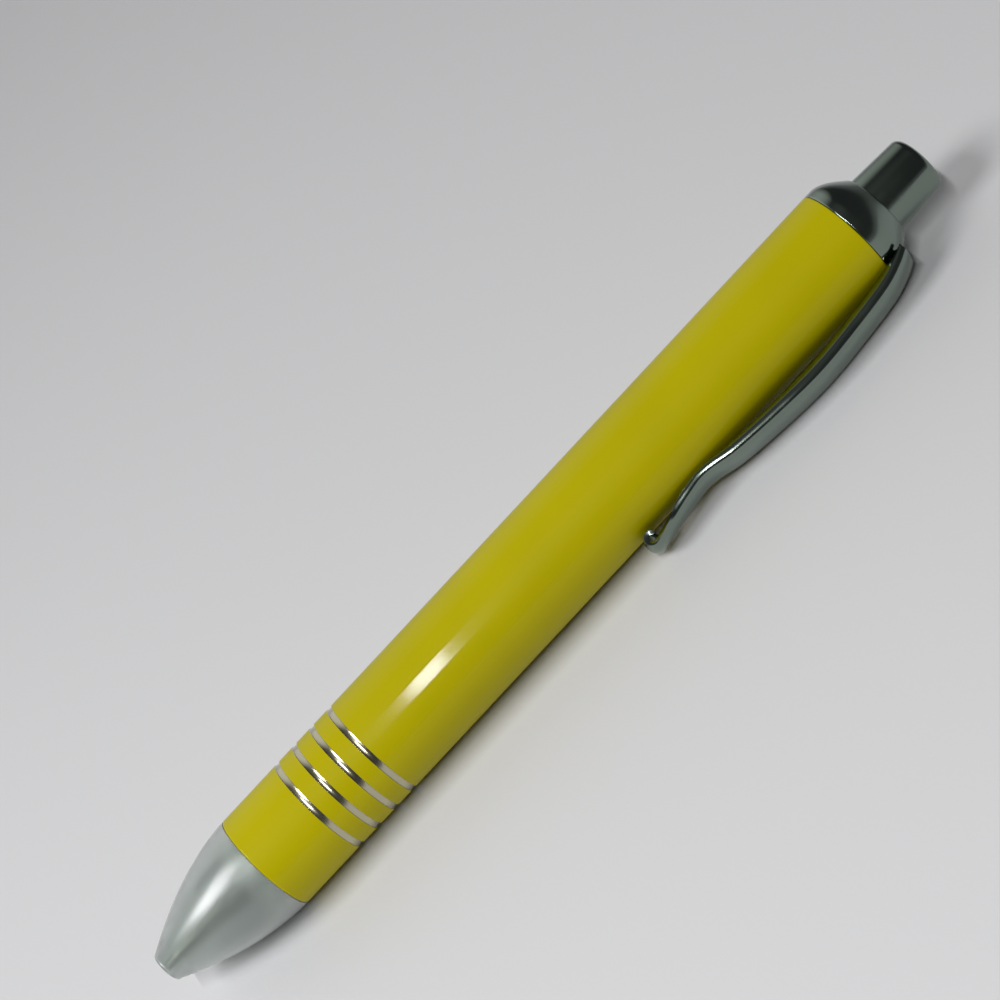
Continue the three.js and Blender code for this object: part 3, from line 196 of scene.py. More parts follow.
class Piece:
    """A piece that is being made, with the steps that all pieces share."""

    def __init__(self, name: str, add: Callable[..., object], **sizes: object) -> None:
        """Adds the primitive that the piece starts from, with its place in its mesh.

        Args:
            name: the piece's name.
            add: adds the primitive.
            sizes: its sizes and place, in metres.
        """
        Piece.clear()
        add(**sizes)
        self.item = bpy.context.object
        self.item.name = self.item.data.name = name
        self.settle()

    @staticmethod
    def clear() -> None:
        """Leaves edit mode with nothing selected, as every new primitive needs."""
        if bpy.context.mode != "OBJECT":
            bpy.ops.object.mode_set(mode="OBJECT")
        bpy.ops.object.select_all(action="DESELECT")

    def take(self) -> None:
        """Makes this piece the only one selected."""
        Piece.clear()
        self.item.select_set(True)
        bpy.context.view_layer.objects.active = self.item

    def settle(self) -> None:
        """Puts the piece's place, turn and scale into its mesh."""
        self.take()
        bpy.ops.object.transform_apply(location=True, rotation=True, scale=True)

    @contextmanager
    def editing(self) -> Iterator[None]:
        """Opens edit mode with all points selected, and leaves it again."""
        self.take()
        bpy.ops.object.mode_set(mode="EDIT")
        bpy.ops.mesh.select_mode(type="VERT")
        bpy.ops.mesh.select_all(action="SELECT")
        yield
        bpy.ops.object.mode_set(mode="OBJECT")

    def pick(self, test: Callable[[Vector], bool]) -> None:
        """Selects, in edit mode, the points whose place passes a test.

        Args:
            test: says of a place whether its point is taken.
        """
        bpy.ops.mesh.select_all(action="DESELECT")
        bpy.ops.object.mode_set(mode="OBJECT")
        for point in self.item.data.vertices:
            point.select = test(point.co)
        bpy.ops.object.mode_set(mode="EDIT")

    def pick_row(self, x: float) -> None:
        """Selects, in edit mode, the points at one place along X."""
        self.pick(lambda p: abs(p.x - x) < WELD)

    def weld(self) -> None:
        """Merges doubled points and turns all faces outwards."""
        with self.editing():
            bpy.ops.mesh.remove_doubles(threshold=WELD)
            bpy.ops.mesh.select_all(action="SELECT")
            bpy.ops.mesh.normals_make_consistent(inside=False)

    def modify(self, kind: str, **settings: object) -> None:
        """Adds a modifier and applies it.

        Args:
            kind: the modifier's type.
            settings: its properties.
        """
        modifier = self.item.modifiers.new(kind.lower(), kind)
        for key, value in settings.items():
            setattr(modifier, key, value)
        self.take()
        bpy.ops.object.modifier_apply(modifier=modifier.name)

    def soften(self, width: float, angle: float = 35.0) -> None:
        """Rounds the edges that are sharper than an angle, by a width."""
        self.modify("BEVEL", width=width * MM, segments=2, limit_method="ANGLE",
                    angle_limit=math.radians(angle))

    def smooth(self, angle: float) -> None:
        """Shades the piece smooth but for edges sharper than an angle."""
        self.take()
        bpy.ops.object.shade_smooth_by_angle(angle=math.radians(angle))

    def combine(self, other: Piece, operation: str) -> None:
        """Cuts another piece out of this one or joins it on, and throws the other away."""
        self.modify("BOOLEAN", operation=operation, solver="EXACT", object=other.item)
        bpy.data.objects.remove(other.item)

    def lay(self, axis: PenAxis, roll: float = 0.0) -> None:
        """Brings a piece that was drawn about the X axis to the pen's axis.

        Args:
            axis: the pen's axis.
            roll: turn about it, in radians.
        """
        self.item.rotation_euler.x = roll
        self.item.location = (0, axis.y, axis.z)
        self.settle()

    def wind(self, axis: PenAxis, turns: int, pitch: float, steps: int) -> None:
        """Winds an outline that was drawn above the X axis round the pen's axis, and faces both ends.

        Args:
            axis: the pen's axis.
            turns: number of turns.
            pitch: advance of one turn.
            steps: faces along one turn.
        """
        self.modify("SCREW", axis="X", angle=2 * math.pi, iterations=turns, steps=steps, render_steps=steps,
                    screw_offset=pitch * MM)
        with self.editing():
            bpy.ops.mesh.fill_holes(sides=0)
        self.weld()
        self.lay(axis)


class Sheet:
    """A node tree that is being laid out, of a material, a node group or the world."""

    def __init__(self, tree: bpy.types.NodeTree) -> None:
        """Keeps the tree that nodes are added to."""
        self.tree = tree

    def node(self, kind: str, settings: dict | None = None, **sockets: object) -> bpy.types.Node:
        """Adds a node.

        Args:
            kind: the node's type.
            settings: properties of the node.
            sockets: a value or another node's output for each input. Underscores in an input's name stand
                for spaces, and i with a number is the input of that number.

        Returns:
            The node.
        """
        made = self.tree.nodes.new(kind)
        for key, value in (settings or {}).items():
            setattr(made, key, value)
        for key, value in sockets.items():
            number = key.removeprefix("i")
            self.feed(made.inputs[int(number) if number.isdigit() else key.replace("_", " ")], value)
        return made

    def feed(self, target: Socket, value: object) -> None:
        """Links an output to an input, or sets the input's own value.

        Args:
            target: the input.
            value: the output or value.
        """
        if isinstance(value, Socket):
            self.tree.links.new(value, target)
        else:
            target.default_value = value

    def math(self, operation: str, first: object, second: object, clamp: bool = False) -> Socket:
        """Adds a Math node and returns its output."""
        settings = {"operation": operation, "use_clamp": clamp}
        return self.node("ShaderNodeMath", settings, i0=first, i1=second).outputs[0]

    def spread(self, value: object, low: float, high: float, start: object = 0.0,
               end: object = 1.0) -> Socket:
        """Adds a Map Range node, from low and high to start and end, and returns its output."""
        return self.node("ShaderNodeMapRange", None, i0=value, i1=low, i2=high, i3=start, i4=end).outputs[0]

    def noise(self, place: Socket, scale: object, detail: float) -> Socket:
        """Adds a Noise Texture node and returns its value."""
        return self.node("ShaderNodeTexNoise", None, Vector=place, Scale=scale, Detail=detail).outputs[0]

    def effect(self, group: bpy.types.NodeTree, **sockets: object) -> Socket:
        """Places a shared effect and returns its output."""
        return self.node("ShaderNodeGroup", {"node_tree": group}, **sockets).outputs[0]


class Effects:
    """Node groups that several finishes share, each built once."""

    DRIFT_SPAN = (0.3, 0.7)
    SMUDGE_SPAN = (0.45, 0.7)
    RIDGE_SPAN = (0.52, 0.62)
    WORN_SPAN = (0.35, 0.65)
    RING_SQUEEZE = (1.0, 0.03, 0.03)

    def __init__(self) -> None:
        """Builds every group."""
        self.drift = self.group("tone_drift", ("Color", "Vector", "Scale", "Amount"), "Color", self.drifting)
        self.grain = self.group("fine_grain", ("Vector", "Scale"), "Height", self.grained)
        self.lathe_marks = self.group("lathe_marks", ("Vector", "Scale"), "Height", self.ringed)
        self.smudges = self.group("finger_smudges", ("Vector", "Scale", "Base", "Amount"), "Roughness",
                                  self.smudged)
        self.edge_wear = self.group("edge_wear", ("Vector", "Scale", "Amount"), "Mask", self.worn)

    @staticmethod
    def group(name: str, inputs: Sequence[str], output: str,
              fill: Callable[..., Socket]) -> bpy.types.NodeTree:
        """Builds a node group.

        Args:
            name: the group's name.
            inputs: the names of its inputs.
            output: the name of its output.
            fill: lays out the nodes between them on a sheet, and returns what the output puts out.

        Returns:
            The group.
        """
        tree = bpy.data.node_groups.new(name, "ShaderNodeTree")
        kinds = {"Color": "NodeSocketColor", "Vector": "NodeSocketVector"}
        for key, side in [*((key, "INPUT") for key in inputs), (output, "OUTPUT")]:
            tree.interface.new_socket(name=key, in_out=side, socket_type=kinds.get(key, "NodeSocketFloat"))
        sheet = Sheet(tree)
        given = sheet.node("NodeGroupInput").outputs
        result = sheet.node("NodeGroupOutput").inputs[output]
        sheet.feed(result, fill(sheet, *(given[key] for key in inputs)))
        return tree

    def drifting(self, sheet: Sheet, colour: Socket, place: Socket, scale: Socket, amount: Socket) -> Socket:
        """Slow change of a colour's depth over the surface."""
        depth = sheet.spread(sheet.noise(place, scale, detail=2.0), *self.DRIFT_SPAN,
                             sheet.math("SUBTRACT", 1.0, amount), sheet.math("ADD", 1.0, amount))
        return sheet.node("ShaderNodeVectorMath", {"operation": "SCALE"}, i0=colour, Scale=depth).outputs[0]

    def grained(self, sheet: Sheet, place: Socket, scale: Socket) -> Socket:
        """Fine even texture, as of moulded plastic or sprayed lacquer."""
        return sheet.noise(place, scale, detail=0.0)

    def ringed(self, sheet: Sheet, place: Socket, scale: Socket) -> Socket:
        """Fine rings that a cutting tool or polishing wheel leaves round the pen's axis."""
        rings = sheet.node("ShaderNodeVectorMath", {"operation": "MULTIPLY"}, i0=place, i1=self.RING_SQUEEZE)
        return sheet.noise(rings.outputs[0], scale, detail=4.0)

    def smudged(self, sheet: Sheet, place: Socket, scale: Socket, base: Socket, amount: Socket) -> Socket:
        """Roughness with dull patches where fingers have touched a gloss."""
        patches = sheet.spread(sheet.noise(place, scale, detail=3.0), *self.SMUDGE_SPAN)
        return sheet.math("ADD", base, sheet.math("MULTIPLY", patches, amount))

    def worn(self, sheet: Sheet, place: Socket, scale: Socket, amount: Socket) -> Socket:
        """Mask of the outer edges, where a finish wears first, broken up in patches."""
        edges = sheet.spread(sheet.node("ShaderNodeNewGeometry").outputs["Pointiness"], *self.RIDGE_SPAN)
        patches = sheet.spread(sheet.noise(place, scale, detail=3.0), *self.WORN_SPAN)
        return sheet.math("MULTIPLY", sheet.math("MULTIPLY", edges, patches), amount, clamp=True)


@dataclass(frozen=True)
class Finish:
    """A surface finish, built as one material.

    Drift is the share by which the colour's depth changes, smudge how much fingers dull the finish, glow
    the light scattered under the surface, shine the plain reflection, and wear how far edges show the worn
    colour. Scales give the fineness of a pattern. Grain is the fineness and the depth of the surface
    texture, which runs round the axis in rings on a turned finish.
    """

    name: str
    colour: Colour
    roughness: float
    metallic: float = 0.0
    drift: float = 0.04
    drift_scale: float = 60.0
    smudge: float = 0.05
    smudge_scale: float = 140.0
    grain: tuple[float, float] = (3000.0, 0.004)
    turned: bool = False
    coat: float = 0.0
    coat_roughness: float = 0.05
    shine: float = 0.5
    transmission: float = 0.0
    ior: float = 1.5
    glow: float = 0.0
    wear: float = 0.0
    wear_scale: float = 900.0
    worn_colour: Colour = (0.8, 0.8, 0.8)

    def build(self, effects: Effects) -> bpy.types.Material:
        """Lays out the material.

        Args:
            effects: the shared node groups.

        Returns:
            The material.
        """
        material = bpy.data.materials.new(self.name)
        material.use_nodes = True
        sheet = Sheet(material.node_tree)
        place = sheet.node("ShaderNodeTexCoord").outputs["Object"]
        colour = sheet.effect(effects.drift, Color=(*self.colour, 1.0), Vector=place, Scale=self.drift_scale,
                              Amount=self.drift)
        if self.wear:
            worn = sheet.effect(effects.edge_wear, Vector=place, Scale=self.wear_scale, Amount=self.wear)
            colour = sheet.node("ShaderNodeMix", {"data_type": "RGBA"}, i0=worn, i6=colour,
                                i7=(*self.worn_colour, 1.0)).outputs[2]
        roughness = sheet.effect(effects.smudges, Vector=place, Scale=self.smudge_scale, Base=self.roughness,
                                 Amount=self.smudge)
        marks = effects.lathe_marks if self.turned else effects.grain
        fineness, depth = self.grain
        texture = sheet.effect(marks, Vector=place, Scale=fineness)
        bump = sheet.node("ShaderNodeBump", None, Strength=1.0, Distance=depth * MM, Height=texture)
        shader = material.node_tree.nodes["Principled BSDF"]
        for key, value in {
            "Base Color": colour, "Roughness": roughness, "Normal": bump.outputs[0],
            "Metallic": self.metallic, "Coat Weight": self.coat, "Coat Roughness": self.coat_roughness,
            "Transmission Weight": self.transmission, "IOR": self.ior, "Specular IOR Level": self.shine,
            "Subsurface Weight": self.glow, "Subsurface Scale": MM,
        }.items():
            sheet.feed(shader.inputs[key], value)
        return material


FINISHES: dict[str, Finish] = {
    Slot.LACQUER: Finish(
        "sprayed_yellow_lacquer", (0.46, 0.4, 0.0005), 0.45, smudge=0.06, grain=(1400.0, 0.003),
        coat=0.2, coat_roughness=0.066, shine=0.05, wear=0.4, worn_colour=(0.6, 0.56, 0.04)),
    Slot.CLEAR: Finish(
        "clear_frosted_plastic", (0.7, 0.76, 0.73), 0.3, drift=0.03, grain=(2200.0, 0.006), coat=1.0,
        coat_roughness=0.24, transmission=0.88, ior=1.49),
    # Painted reflection: this chrome colour is darker and greener than plain chrome. It stands in for the
    # dark room and the yellow barrel that the chrome mirrors, and the worn colour on its edges carries the
    # same green tint.
    Slot.CHROME: Finish(
        "chrome_plate_painted_dark_reflection", (0.21, 0.258, 0.22), 0.14, 1.0, drift=0.05, smudge=0.07,
        grain=(2600.0, 0.0012), turned=True, wear=0.4, worn_colour=(0.45, 0.5, 0.47)),
    Slot.SPRING: Finish(
        "drawn_spring_wire", (0.5, 0.52, 0.54), 0.3, 1.0, grain=(4000.0, 0.002), turned=True),
    Slot.CELL: Finish(
        "nickel_plated_can", (0.62, 0.63, 0.62), 0.26, 1.0, grain=(3500.0, 0.003), wear=0.3),
    Slot.BRASS: Finish(
        "stamped_brass", (0.66, 0.48, 0.2), 0.32, 1.0, drift=0.1, wear=0.5,
        worn_colour=(0.85, 0.7, 0.4)),
    Slot.NICKEL: Finish(
        "turned_nickel_silver", (0.46, 0.45, 0.4), 0.2, 1.0, grain=(6000.0, 0.003), turned=True),
    Slot.CARBIDE: Finish(
        "ground_carbide", (0.22, 0.23, 0.24), 0.12, 1.0, grain=(9000.0, 0.001)),
    Slot.WHITE: Finish(
        "moulded_white_plastic", (0.76, 0.76, 0.72), 0.48, smudge=0.08, grain=(2600.0, 0.008),
        glow=0.15),
    Slot.NATURAL: Finish(
        "moulded_natural_plastic", (0.68, 0.68, 0.62), 0.4, smudge=0.08, grain=(2600.0, 0.006),
        glow=0.3),
    Slot.BLACK: Finish(
        "moulded_black_plastic", (0.02, 0.02, 0.022), 0.45, smudge=0.1, grain=(2600.0, 0.008), wear=0.4,
        worn_colour=(0.12, 0.12, 0.12)),
    Slot.LENS: Finish(
        "clear_lamp_epoxy", (0.93, 0.95, 0.96), 0.06, drift=0.02, smudge=0.03, grain=(1200.0, 0.002),
        transmission=0.95, ior=1.54),
    Slot.INK: Finish(
        "blue_ink_paste", (0.012, 0.02, 0.14), 0.25, drift=0.2, drift_scale=300.0, grain=(900.0, 0.01)),
    "clear_tube": Finish(
        "translucent_tube_plastic", (0.8, 0.81, 0.76), 0.22, drift=0.03, grain=(2600.0, 0.004),
        transmission=0.7, ior=1.49),
    "bright_cut": Finish(
        "bright_cut_metal", (0.5, 0.47, 0.34), 0.2, 1.0, grain=(9000.0, 0.002), turned=True),
    "floor": Finish(
        "pale_floor", (0.66, 0.66, 0.67), 0.6, drift=0.015, drift_scale=3.0, smudge=0.04,
        grain=(1500.0, 0.01)),
}


@dataclass
class SubAssembly:
    """What every sub-assembly needs: the pen's axis and the material of each finish."""

    axis: PenAxis
    materials: dict[str, bpy.types.Material]

    def turn(self, name: str, cuts: Sequence[Cut], sides: int = 96, walled: bool = True,
             lift: float = 0.0) -> Piece:
        """Turns a piece, drawing a ring of points from cut to cut.

        Args:
            name: the piece's name.
            cuts: station and radius of each ring, in order round the section.
            sides: points round each ring.
            walled: True for a tube, whose last ring joins its first, False for a solid with faced ends.
            lift: height of the turning centre above the pen's axis.

        Returns:
            The piece, closed and with its faces outwards.
        """
        cuts = braced(cuts, walled)
        station, radius = cuts[0]
        piece = Piece(
            name, bpy.ops.mesh.primitive_circle_add, vertices=sides, radius=radius * MM,
            location=self.axis.at(station, lift), rotation=(0, math.pi / 2, 0),
            fill_type="NOTHING" if walled else "NGON")
        with piece.editing():
            for next_station, next_radius in [*cuts[1:], cuts[0]] if walled else cuts[1:]:
                step = ((next_station - station) * MM, 0, 0)
                bpy.ops.mesh.extrude_region_move(TRANSFORM_OT_translate={"value": step})
                share = next_radius / radius
                centre = self.axis.at(next_station, lift)
                bpy.ops.transform.resize(value=(1, share, share), center_override=centre)
                station, radius = next_station, next_radius
        piece.weld()
        return piece

    def complete(self, piece: Piece, body: Body, slot: Slot, *nodes: str, bevel: float = 0.0,
                 angle: float = 32.0, even: bool = False) -> None:
        """Rounds and shades a piece, and gives it its material, its body and the nodes it stands for.

        Args:
            piece: the piece, closed and in place.
            body: the body that it moves with.
            slot: its finish, used where it has no material yet.
            nodes: the nodes that it replaces.
            bevel: width of its rounded edges, or 0 for none.
            angle: edges sharper than this many degrees stay sharp in the shading.
            even: True where the shading is weighed by face size, so that slivers beside a cut don't show.
        """
        if bevel:
            piece.soften(bevel)
        piece.smooth(angle)
        if even:
            piece.modify("WEIGHTED_NORMAL", keep_sharp=True)
        item = piece.item
        if not item.data.materials:
            item.data.materials.append(self.materials[slot])
        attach(item, body.value)
        if nodes:
            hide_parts(*nodes)
        log.info("%s rides on %s with %d faces", item.name, body.value, len(item.data.polygons))


@dataclass
class BarrelShell(SubAssembly):
    """The lacquered tube with its four bright grooves."""

    front: float = 17.32
    length: float = 101.86
    radius: float = 6.978
    bore: float = 6.4
    edge: float = 0.25
    groove_setback: float = 9.58
    groove_pitch: float = 3.03
    groove_count: int = 4
    groove_width: float = 0.84
    groove_depth: float = 0.15
    groove_fullness: float = 0.7
    groove_steps: int = 6

    def build(self) -> None:
        """Turns the tube, and bares the metal in its grooves."""
        end = self.front + self.length
        half = self.groove_width / 2
        first = self.front + self.groove_setback
        middles = [first + i * self.groove_pitch for i in range(self.groove_count)]
        cuts = [(self.front, self.bore)]
        cuts += rounded(self.front + self.edge, self.radius - self.edge, self.edge, 180, 90, 4)
        for middle in middles:
            cuts.append((middle - half, self.radius))
            for share in shares(self.groove_steps, 1)[:-1]:
                turn = math.pi * (1 - share)
                depth = self.groove_depth * math.sin(turn) ** self.groove_fullness
                cuts.append((middle + half * math.cos(turn), self.radius - depth))
            cuts.append((middle + half, self.radius))
        cuts += rounded(end - self.edge / 2, self.radius - self.edge / 2, self.edge / 2, 90, 0, 3)
        cuts.append((end, self.bore))
        tube = self.turn("barrel_tube", cuts, sides=128)
        mesh = tube.item.data
        mesh.materials.append(self.materials[Slot.LACQUER])
        mesh.materials.append(self.materials["bright_cut"])
        for face in mesh.polygons:
            station = (face.center.x - self.axis.front) / MM
            face.material_index = int(any(abs(station - middle) < half for middle in middles))
        self.complete(tube, Body.BARREL, Slot.LACQUER, "barrel")


@dataclass
class ClearNose(SubAssembly):
    """The clear nose with its spigot."""

    tip_radius: float = 1.95
    back_radius: float = 6.978
    length: float = 17.3
    curve: float = 1.8
    wall: float = 0.9
    edge: float = 0.4
    bore: float = 1.45
    bore_length: float = 2.6
    thick_from: float = 9.0
    spigot_length: float = 6.5
    spigot_radius: float = 6.15
    spigot_bore: float = 5.4
    outer_steps: int = 26
    inner_steps: int = 22
    thread_front: float = 18.6
    thread_pitch: float = 1.1
    thread_turns: int = 4
    thread_crest: float = 6.3
    thread_sink: float = 0.03
    thread_half_width: float = 0.32
    thread_steps: int = 72

    def radius(self, station: float) -> float:
        """Outer radius at a station, on a full curve that flattens towards the barrel."""
        left = max(0.0, 1 - station / self.length)
        return self.tip_radius + (self.back_radius - self.tip_radius) * (1 - left ** self.curve)

    def cavity_radius(self, station: float) -> float:
        """Radius of the hollow at a station, whose wall thickens smoothly towards the spigot."""
        added = self.back_radius - self.spigot_bore - self.wall
        thickened = eased(share_of(station, self.thick_from, self.length))
        return self.radius(station) - self.wall - added * thickened

    def build(self) -> None:
        """Turns the nose as one clear shell."""
        rear = self.length + self.spigot_length
        cuts = [(0.0, self.bore)]
        cuts += rounded(self.edge, self.radius(self.edge) - self.edge, self.edge, 180, 100, 4)
        for share in shares(self.outer_steps):
            station = self.edge + (self.length - self.edge) * share
            cuts.append((station, self.radius(station)))
        cuts += [(self.length, self.spigot_radius), (rear, self.spigot_radius), (rear, self.spigot_bore)]
        for share in reversed(shares(self.inner_steps)):
            station = self.bore_length + (self.length - self.bore_length) * share
            cuts.append((station, self.cavity_radius(station)))
        cuts.append((self.bore_length, self.bore))
        nose = self.turn("clear_nose_shell", cuts)
        self.complete(nose, Body.NOSE, Slot.CLEAR, "nose_cone", bevel=0.08)
        self.build_thread()

    def build_thread(self) -> None:
        """Winds the moulded thread round the spigot."""
        root = self.spigot_radius - self.thread_sink
        foot = (0, 0, root * MM)
        thread = Piece(
            "nose_thread", bpy.ops.mesh.primitive_circle_add, vertices=4,
            radius=self.thread_half_width * MM, rotation=(math.pi / 2, 0, 0),
            location=(self.axis.x(self.thread_front), 0, root * MM), fill_type="NGON")
        with thread.editing():
            bpy.ops.mesh.bisect(plane_co=foot, plane_no=(0, 0, 1), clear_inner=True, use_fill=False)
            bpy.ops.mesh.select_all(action="SELECT")
            height = (self.thread_crest - root) / self.thread_half_width
            bpy.ops.transform.resize(value=(1, 1, height), center_override=foot)
            bpy.ops.mesh.delete(type="ONLY_FACE")
        thread.wind(self.axis, self.thread_turns, self.thread_pitch, self.thread_steps)
        self.complete(thread, Body.NOSE, Slot.CLEAR, bevel=0.04)


@dataclass
class CapAndClip(SubAssembly):
    """The domed cap and the pocket clip that it holds."""

    barrel_end: float = 119.2
    barrel_radius: float = 7.0
    outer: float = 6.978
    edge: float = 0.15
    band: float = 0.9
    dome_length: float = 4.0
    dome_top: float = 4.65
    dome_steps: int = 16
    bore: float = 4.45
    roof: float = 2.9
    spigot_length: float = 6.0
    spigot_radius: float = 6.15
    cavity_radius: float = 5.55
    softness: float = 0.07
    bends: tuple[Cut, ...] = (
        (-42.0, 2.95), (-35.0, 1.72), (-32.2, 1.6), (-27.8, 2.62), (-20.5, 3.42),
        (-14.2, 3.72), (-7.2, 3.22), (-2.0, 2.6), (0.9, 1.78), (2.75, 0.95),
    )
    thickness: float = 0.6
    crown: float = 0.3
    foot_half_width: float = 1.8
    half_width: float = 2.6
    taper_length: float = 28.0
    wall_depth: float = 2.3
    foot_wall_depth: float = 1.1
    rear_wall_depth: float = 1.5
    least_wall: float = 0.05
    wall_rise: float = 6.0
    wall_fade: float = 7.0
    wall_gap: float = 0.36
    lip: float = 0.45
    curl_radius: float = 1.28
    curl_turn: float = 205.0
    curl_steps: int = 16
    tuck_radius: float = 0.85
    tuck_turn: float = 115.0
    tuck_steps: int = 10
    tang_length: float = 1.5
    tang_half_width: float = 1.5
    tang_depth: float = 0.75
    tang_inset: float = 0.3
    tang_softness: float = 0.1
    fold_radius: float = 0.9
    gap: float = 0.12
    steps: int = 44
    face_columns: int = 3
    fold_columns: int = 4
    wall_columns: int = 3

    @property
    def roll(self) -> float:
        """Finds how the pen rolls until the clip lies on the floor.

        Returns:
            The turn about X that lays the clip's crest there, in radians.
        """
        crest = self.barrel_radius + max(rise for _, rise in self.bends) - self.crown
        corner = math.hypot(crest, self.half_width)
        return math.pi / 2 + math.asin(self.axis.z / MM / corner) - math.atan2(self.half_width, crest)

    @property
    def foot(self) -> float:
        """Station of the clip's foot."""
        return self.barrel_end + self.bends[0][0]

    @property
    def rear(self) -> float:
        """Station of the clip's rear end."""
        return self.barrel_end + self.bends[-1][0]

    def cap_radius(self, station: float) -> float:
        """Outer radius of the cap's dome at a station."""
        share = share_of(station - self.barrel_end - self.band, 0.0, self.dome_length)
        return self.dome_top + (self.outer - self.dome_top) * math.cos(math.pi / 2 * share)

    def face(self) -> list[Cut]:
        """Draws the clip's outer face, a smooth curve through the bends.

        Returns:
            Station and height of its places, from the foot to the cap.
        """
        ends = [(self.barrel_end + behind, self.barrel_radius + rise) for behind, rise in self.bends]
        ends = [ends[0], *ends, ends[-1]]
        places = []
        for share in shares(self.steps):
            where = (len(self.bends) - 1) * share
            k = min(int(where), len(self.bends) - 2)
            t = where - k
            p = ends[k:k + 4]
            places.append(tuple(
                0.5 * (2 * p[1][j] + (p[2][j] - p[0][j]) * t
                       + (2 * p[0][j] - 5 * p[1][j] + 4 * p[2][j] - p[3][j]) * t * t
                       + (3 * p[1][j] - p[0][j] - 3 * p[2][j] + p[3][j]) * t ** 3)
                for j in (0, 1)))
        return places

    def taper(self, station: float) -> float:
        """How far the clip has grown to its full width at a station, as a share."""
        return share_of(station - self.foot, 0.0, self.taper_length)

    def half_width_at(self, station: float) -> float:
        """Half of the clip's width at a station."""
        growth = math.sin(math.pi / 2 * self.taper(station))
        return self.foot_half_width + (self.half_width - self.foot_half_width) * growth

    def wall_drop(self, station: float, height: float) -> float:
        """How far the lower edge of the clip's side walls lies below its crest.

        Args:
            station: distance from the nose's front.
            height: height of the crest above the axis there.

        Returns:
            The drop, small enough to clear the barrel and the cap.
        """
        depth = self.foot_wall_depth + (self.wall_depth - self.foot_wall_depth) * self.taper(station)
        left = share_of(self.rear - station, 0.0, self.wall_fade)
        depth = self.rear_wall_depth + (depth - self.rear_wall_depth) * math.sin(math.pi / 2 * left)
        inside = self.half_width_at(station) - self.lip - self.thickness
        round_below = min(self.barrel_radius, self.cap_radius(station))
        surface = math.sqrt(round_below ** 2 - inside ** 2)
        return min(depth, height - surface - self.wall_gap)

    def section(self, station: float, height: float) -> list[Cut]:
        """Half of the clip's section: crowned face, round fold and wall with an inward lip.

        Args:
            station: distance from the nose's front.
            height: height of the crest above the axis there.

        Returns:
            Place across the clip and drop below its crest, from the middle to the lip.
        """
        half = self.half_width_at(station)
        fold = self.fold_radius * half / self.half_width
        flat = half - fold
        rim = self.crown * (flat / half) ** 2
        top = rim + fold
        wall = max(self.least_wall, self.wall_drop(station, height) - top)
        lip = self.lip * (wall / (self.wall_depth - self.crown - self.fold_radius)) ** 2
        points = [(flat * share, rim * share ** 2) for share in shares(self.face_columns)]
        for share in shares(self.fold_columns, 1):
            turn = math.pi / 2 * share
            points.append((flat + fold * math.sin(turn), rim + fold * (1 - math.cos(turn))))
        points += [(half - lip * share ** 2, top + wall * share) for share in shares(self.wall_columns, 1)]
        folded = eased(share_of(station - self.foot, 0.0, self.wall_rise))
        return [(half * share * (1 - folded) + across * folded,
                 self.crown * share ** 2 * (1 - folded) + drop * folded)
                for share, (across, drop) in zip(shares(len(points) - 1), points)]

    def build(self) -> None:
        """Makes the cap and the clip."""
        self.build_cap()
        self.build_clip()

    def tang_block(self, name: str, slack: float, high: float) -> Piece:
        """Makes the block of the clip's tang, or of the slot that it stands in, upright about the axis.

        Args:
            name: the block's name.
            slack: how much it is larger than the tang on its sides.
            high: its greatest height above the axis.

        Returns:
            The block.
        """
        front = self.rear - self.tang_length - slack
        back = self.rear - self.tang_inset + slack
        low = self.cap_radius(self.rear - self.tang_length / 2) - self.tang_depth - slack
        return Piece(
            name, bpy.ops.mesh.primitive_cube_add, size=1,
            location=(self.axis.x((front + back) / 2), 0, (low + high) / 2 * MM),
            scale=((back - front) * MM, 2 * (self.tang_half_width + slack) * MM, (high - low) * MM))

    def build_cap(self) -> None:
        """Turns the cap and cuts the slot of the clip's tang."""
        dome = self.barrel_end + self.band
        end = dome + self.dome_length
        roof = end - self.roof
        front = self.barrel_end - self.spigot_length
        cuts = [(front, self.cavity_radius), (front, self.spigot_radius),
                (self.barrel_end, self.spigot_radius)]
        cuts += rounded(self.barrel_end + self.edge, self.outer - self.edge, self.edge, 180, 90, 3)
        for share in shares(self.dome_steps):
            station = dome + self.dome_length * share
            cuts.append((station, self.cap_radius(station)))
        cuts += [(end, self.bore), (roof, self.bore), (roof, self.cavity_radius)]
        cap = self.turn("domed_cap", cuts)
        cap.soften(self.softness)
        slot = self.tang_block("tang_slot", self.gap, 2 * self.barrel_radius)
        slot.lay(self.axis, self.roll)
        cap.combine(slot, "DIFFERENCE")
        self.complete(cap, Body.BARREL, Slot.CHROME, "top_cap", even=True)

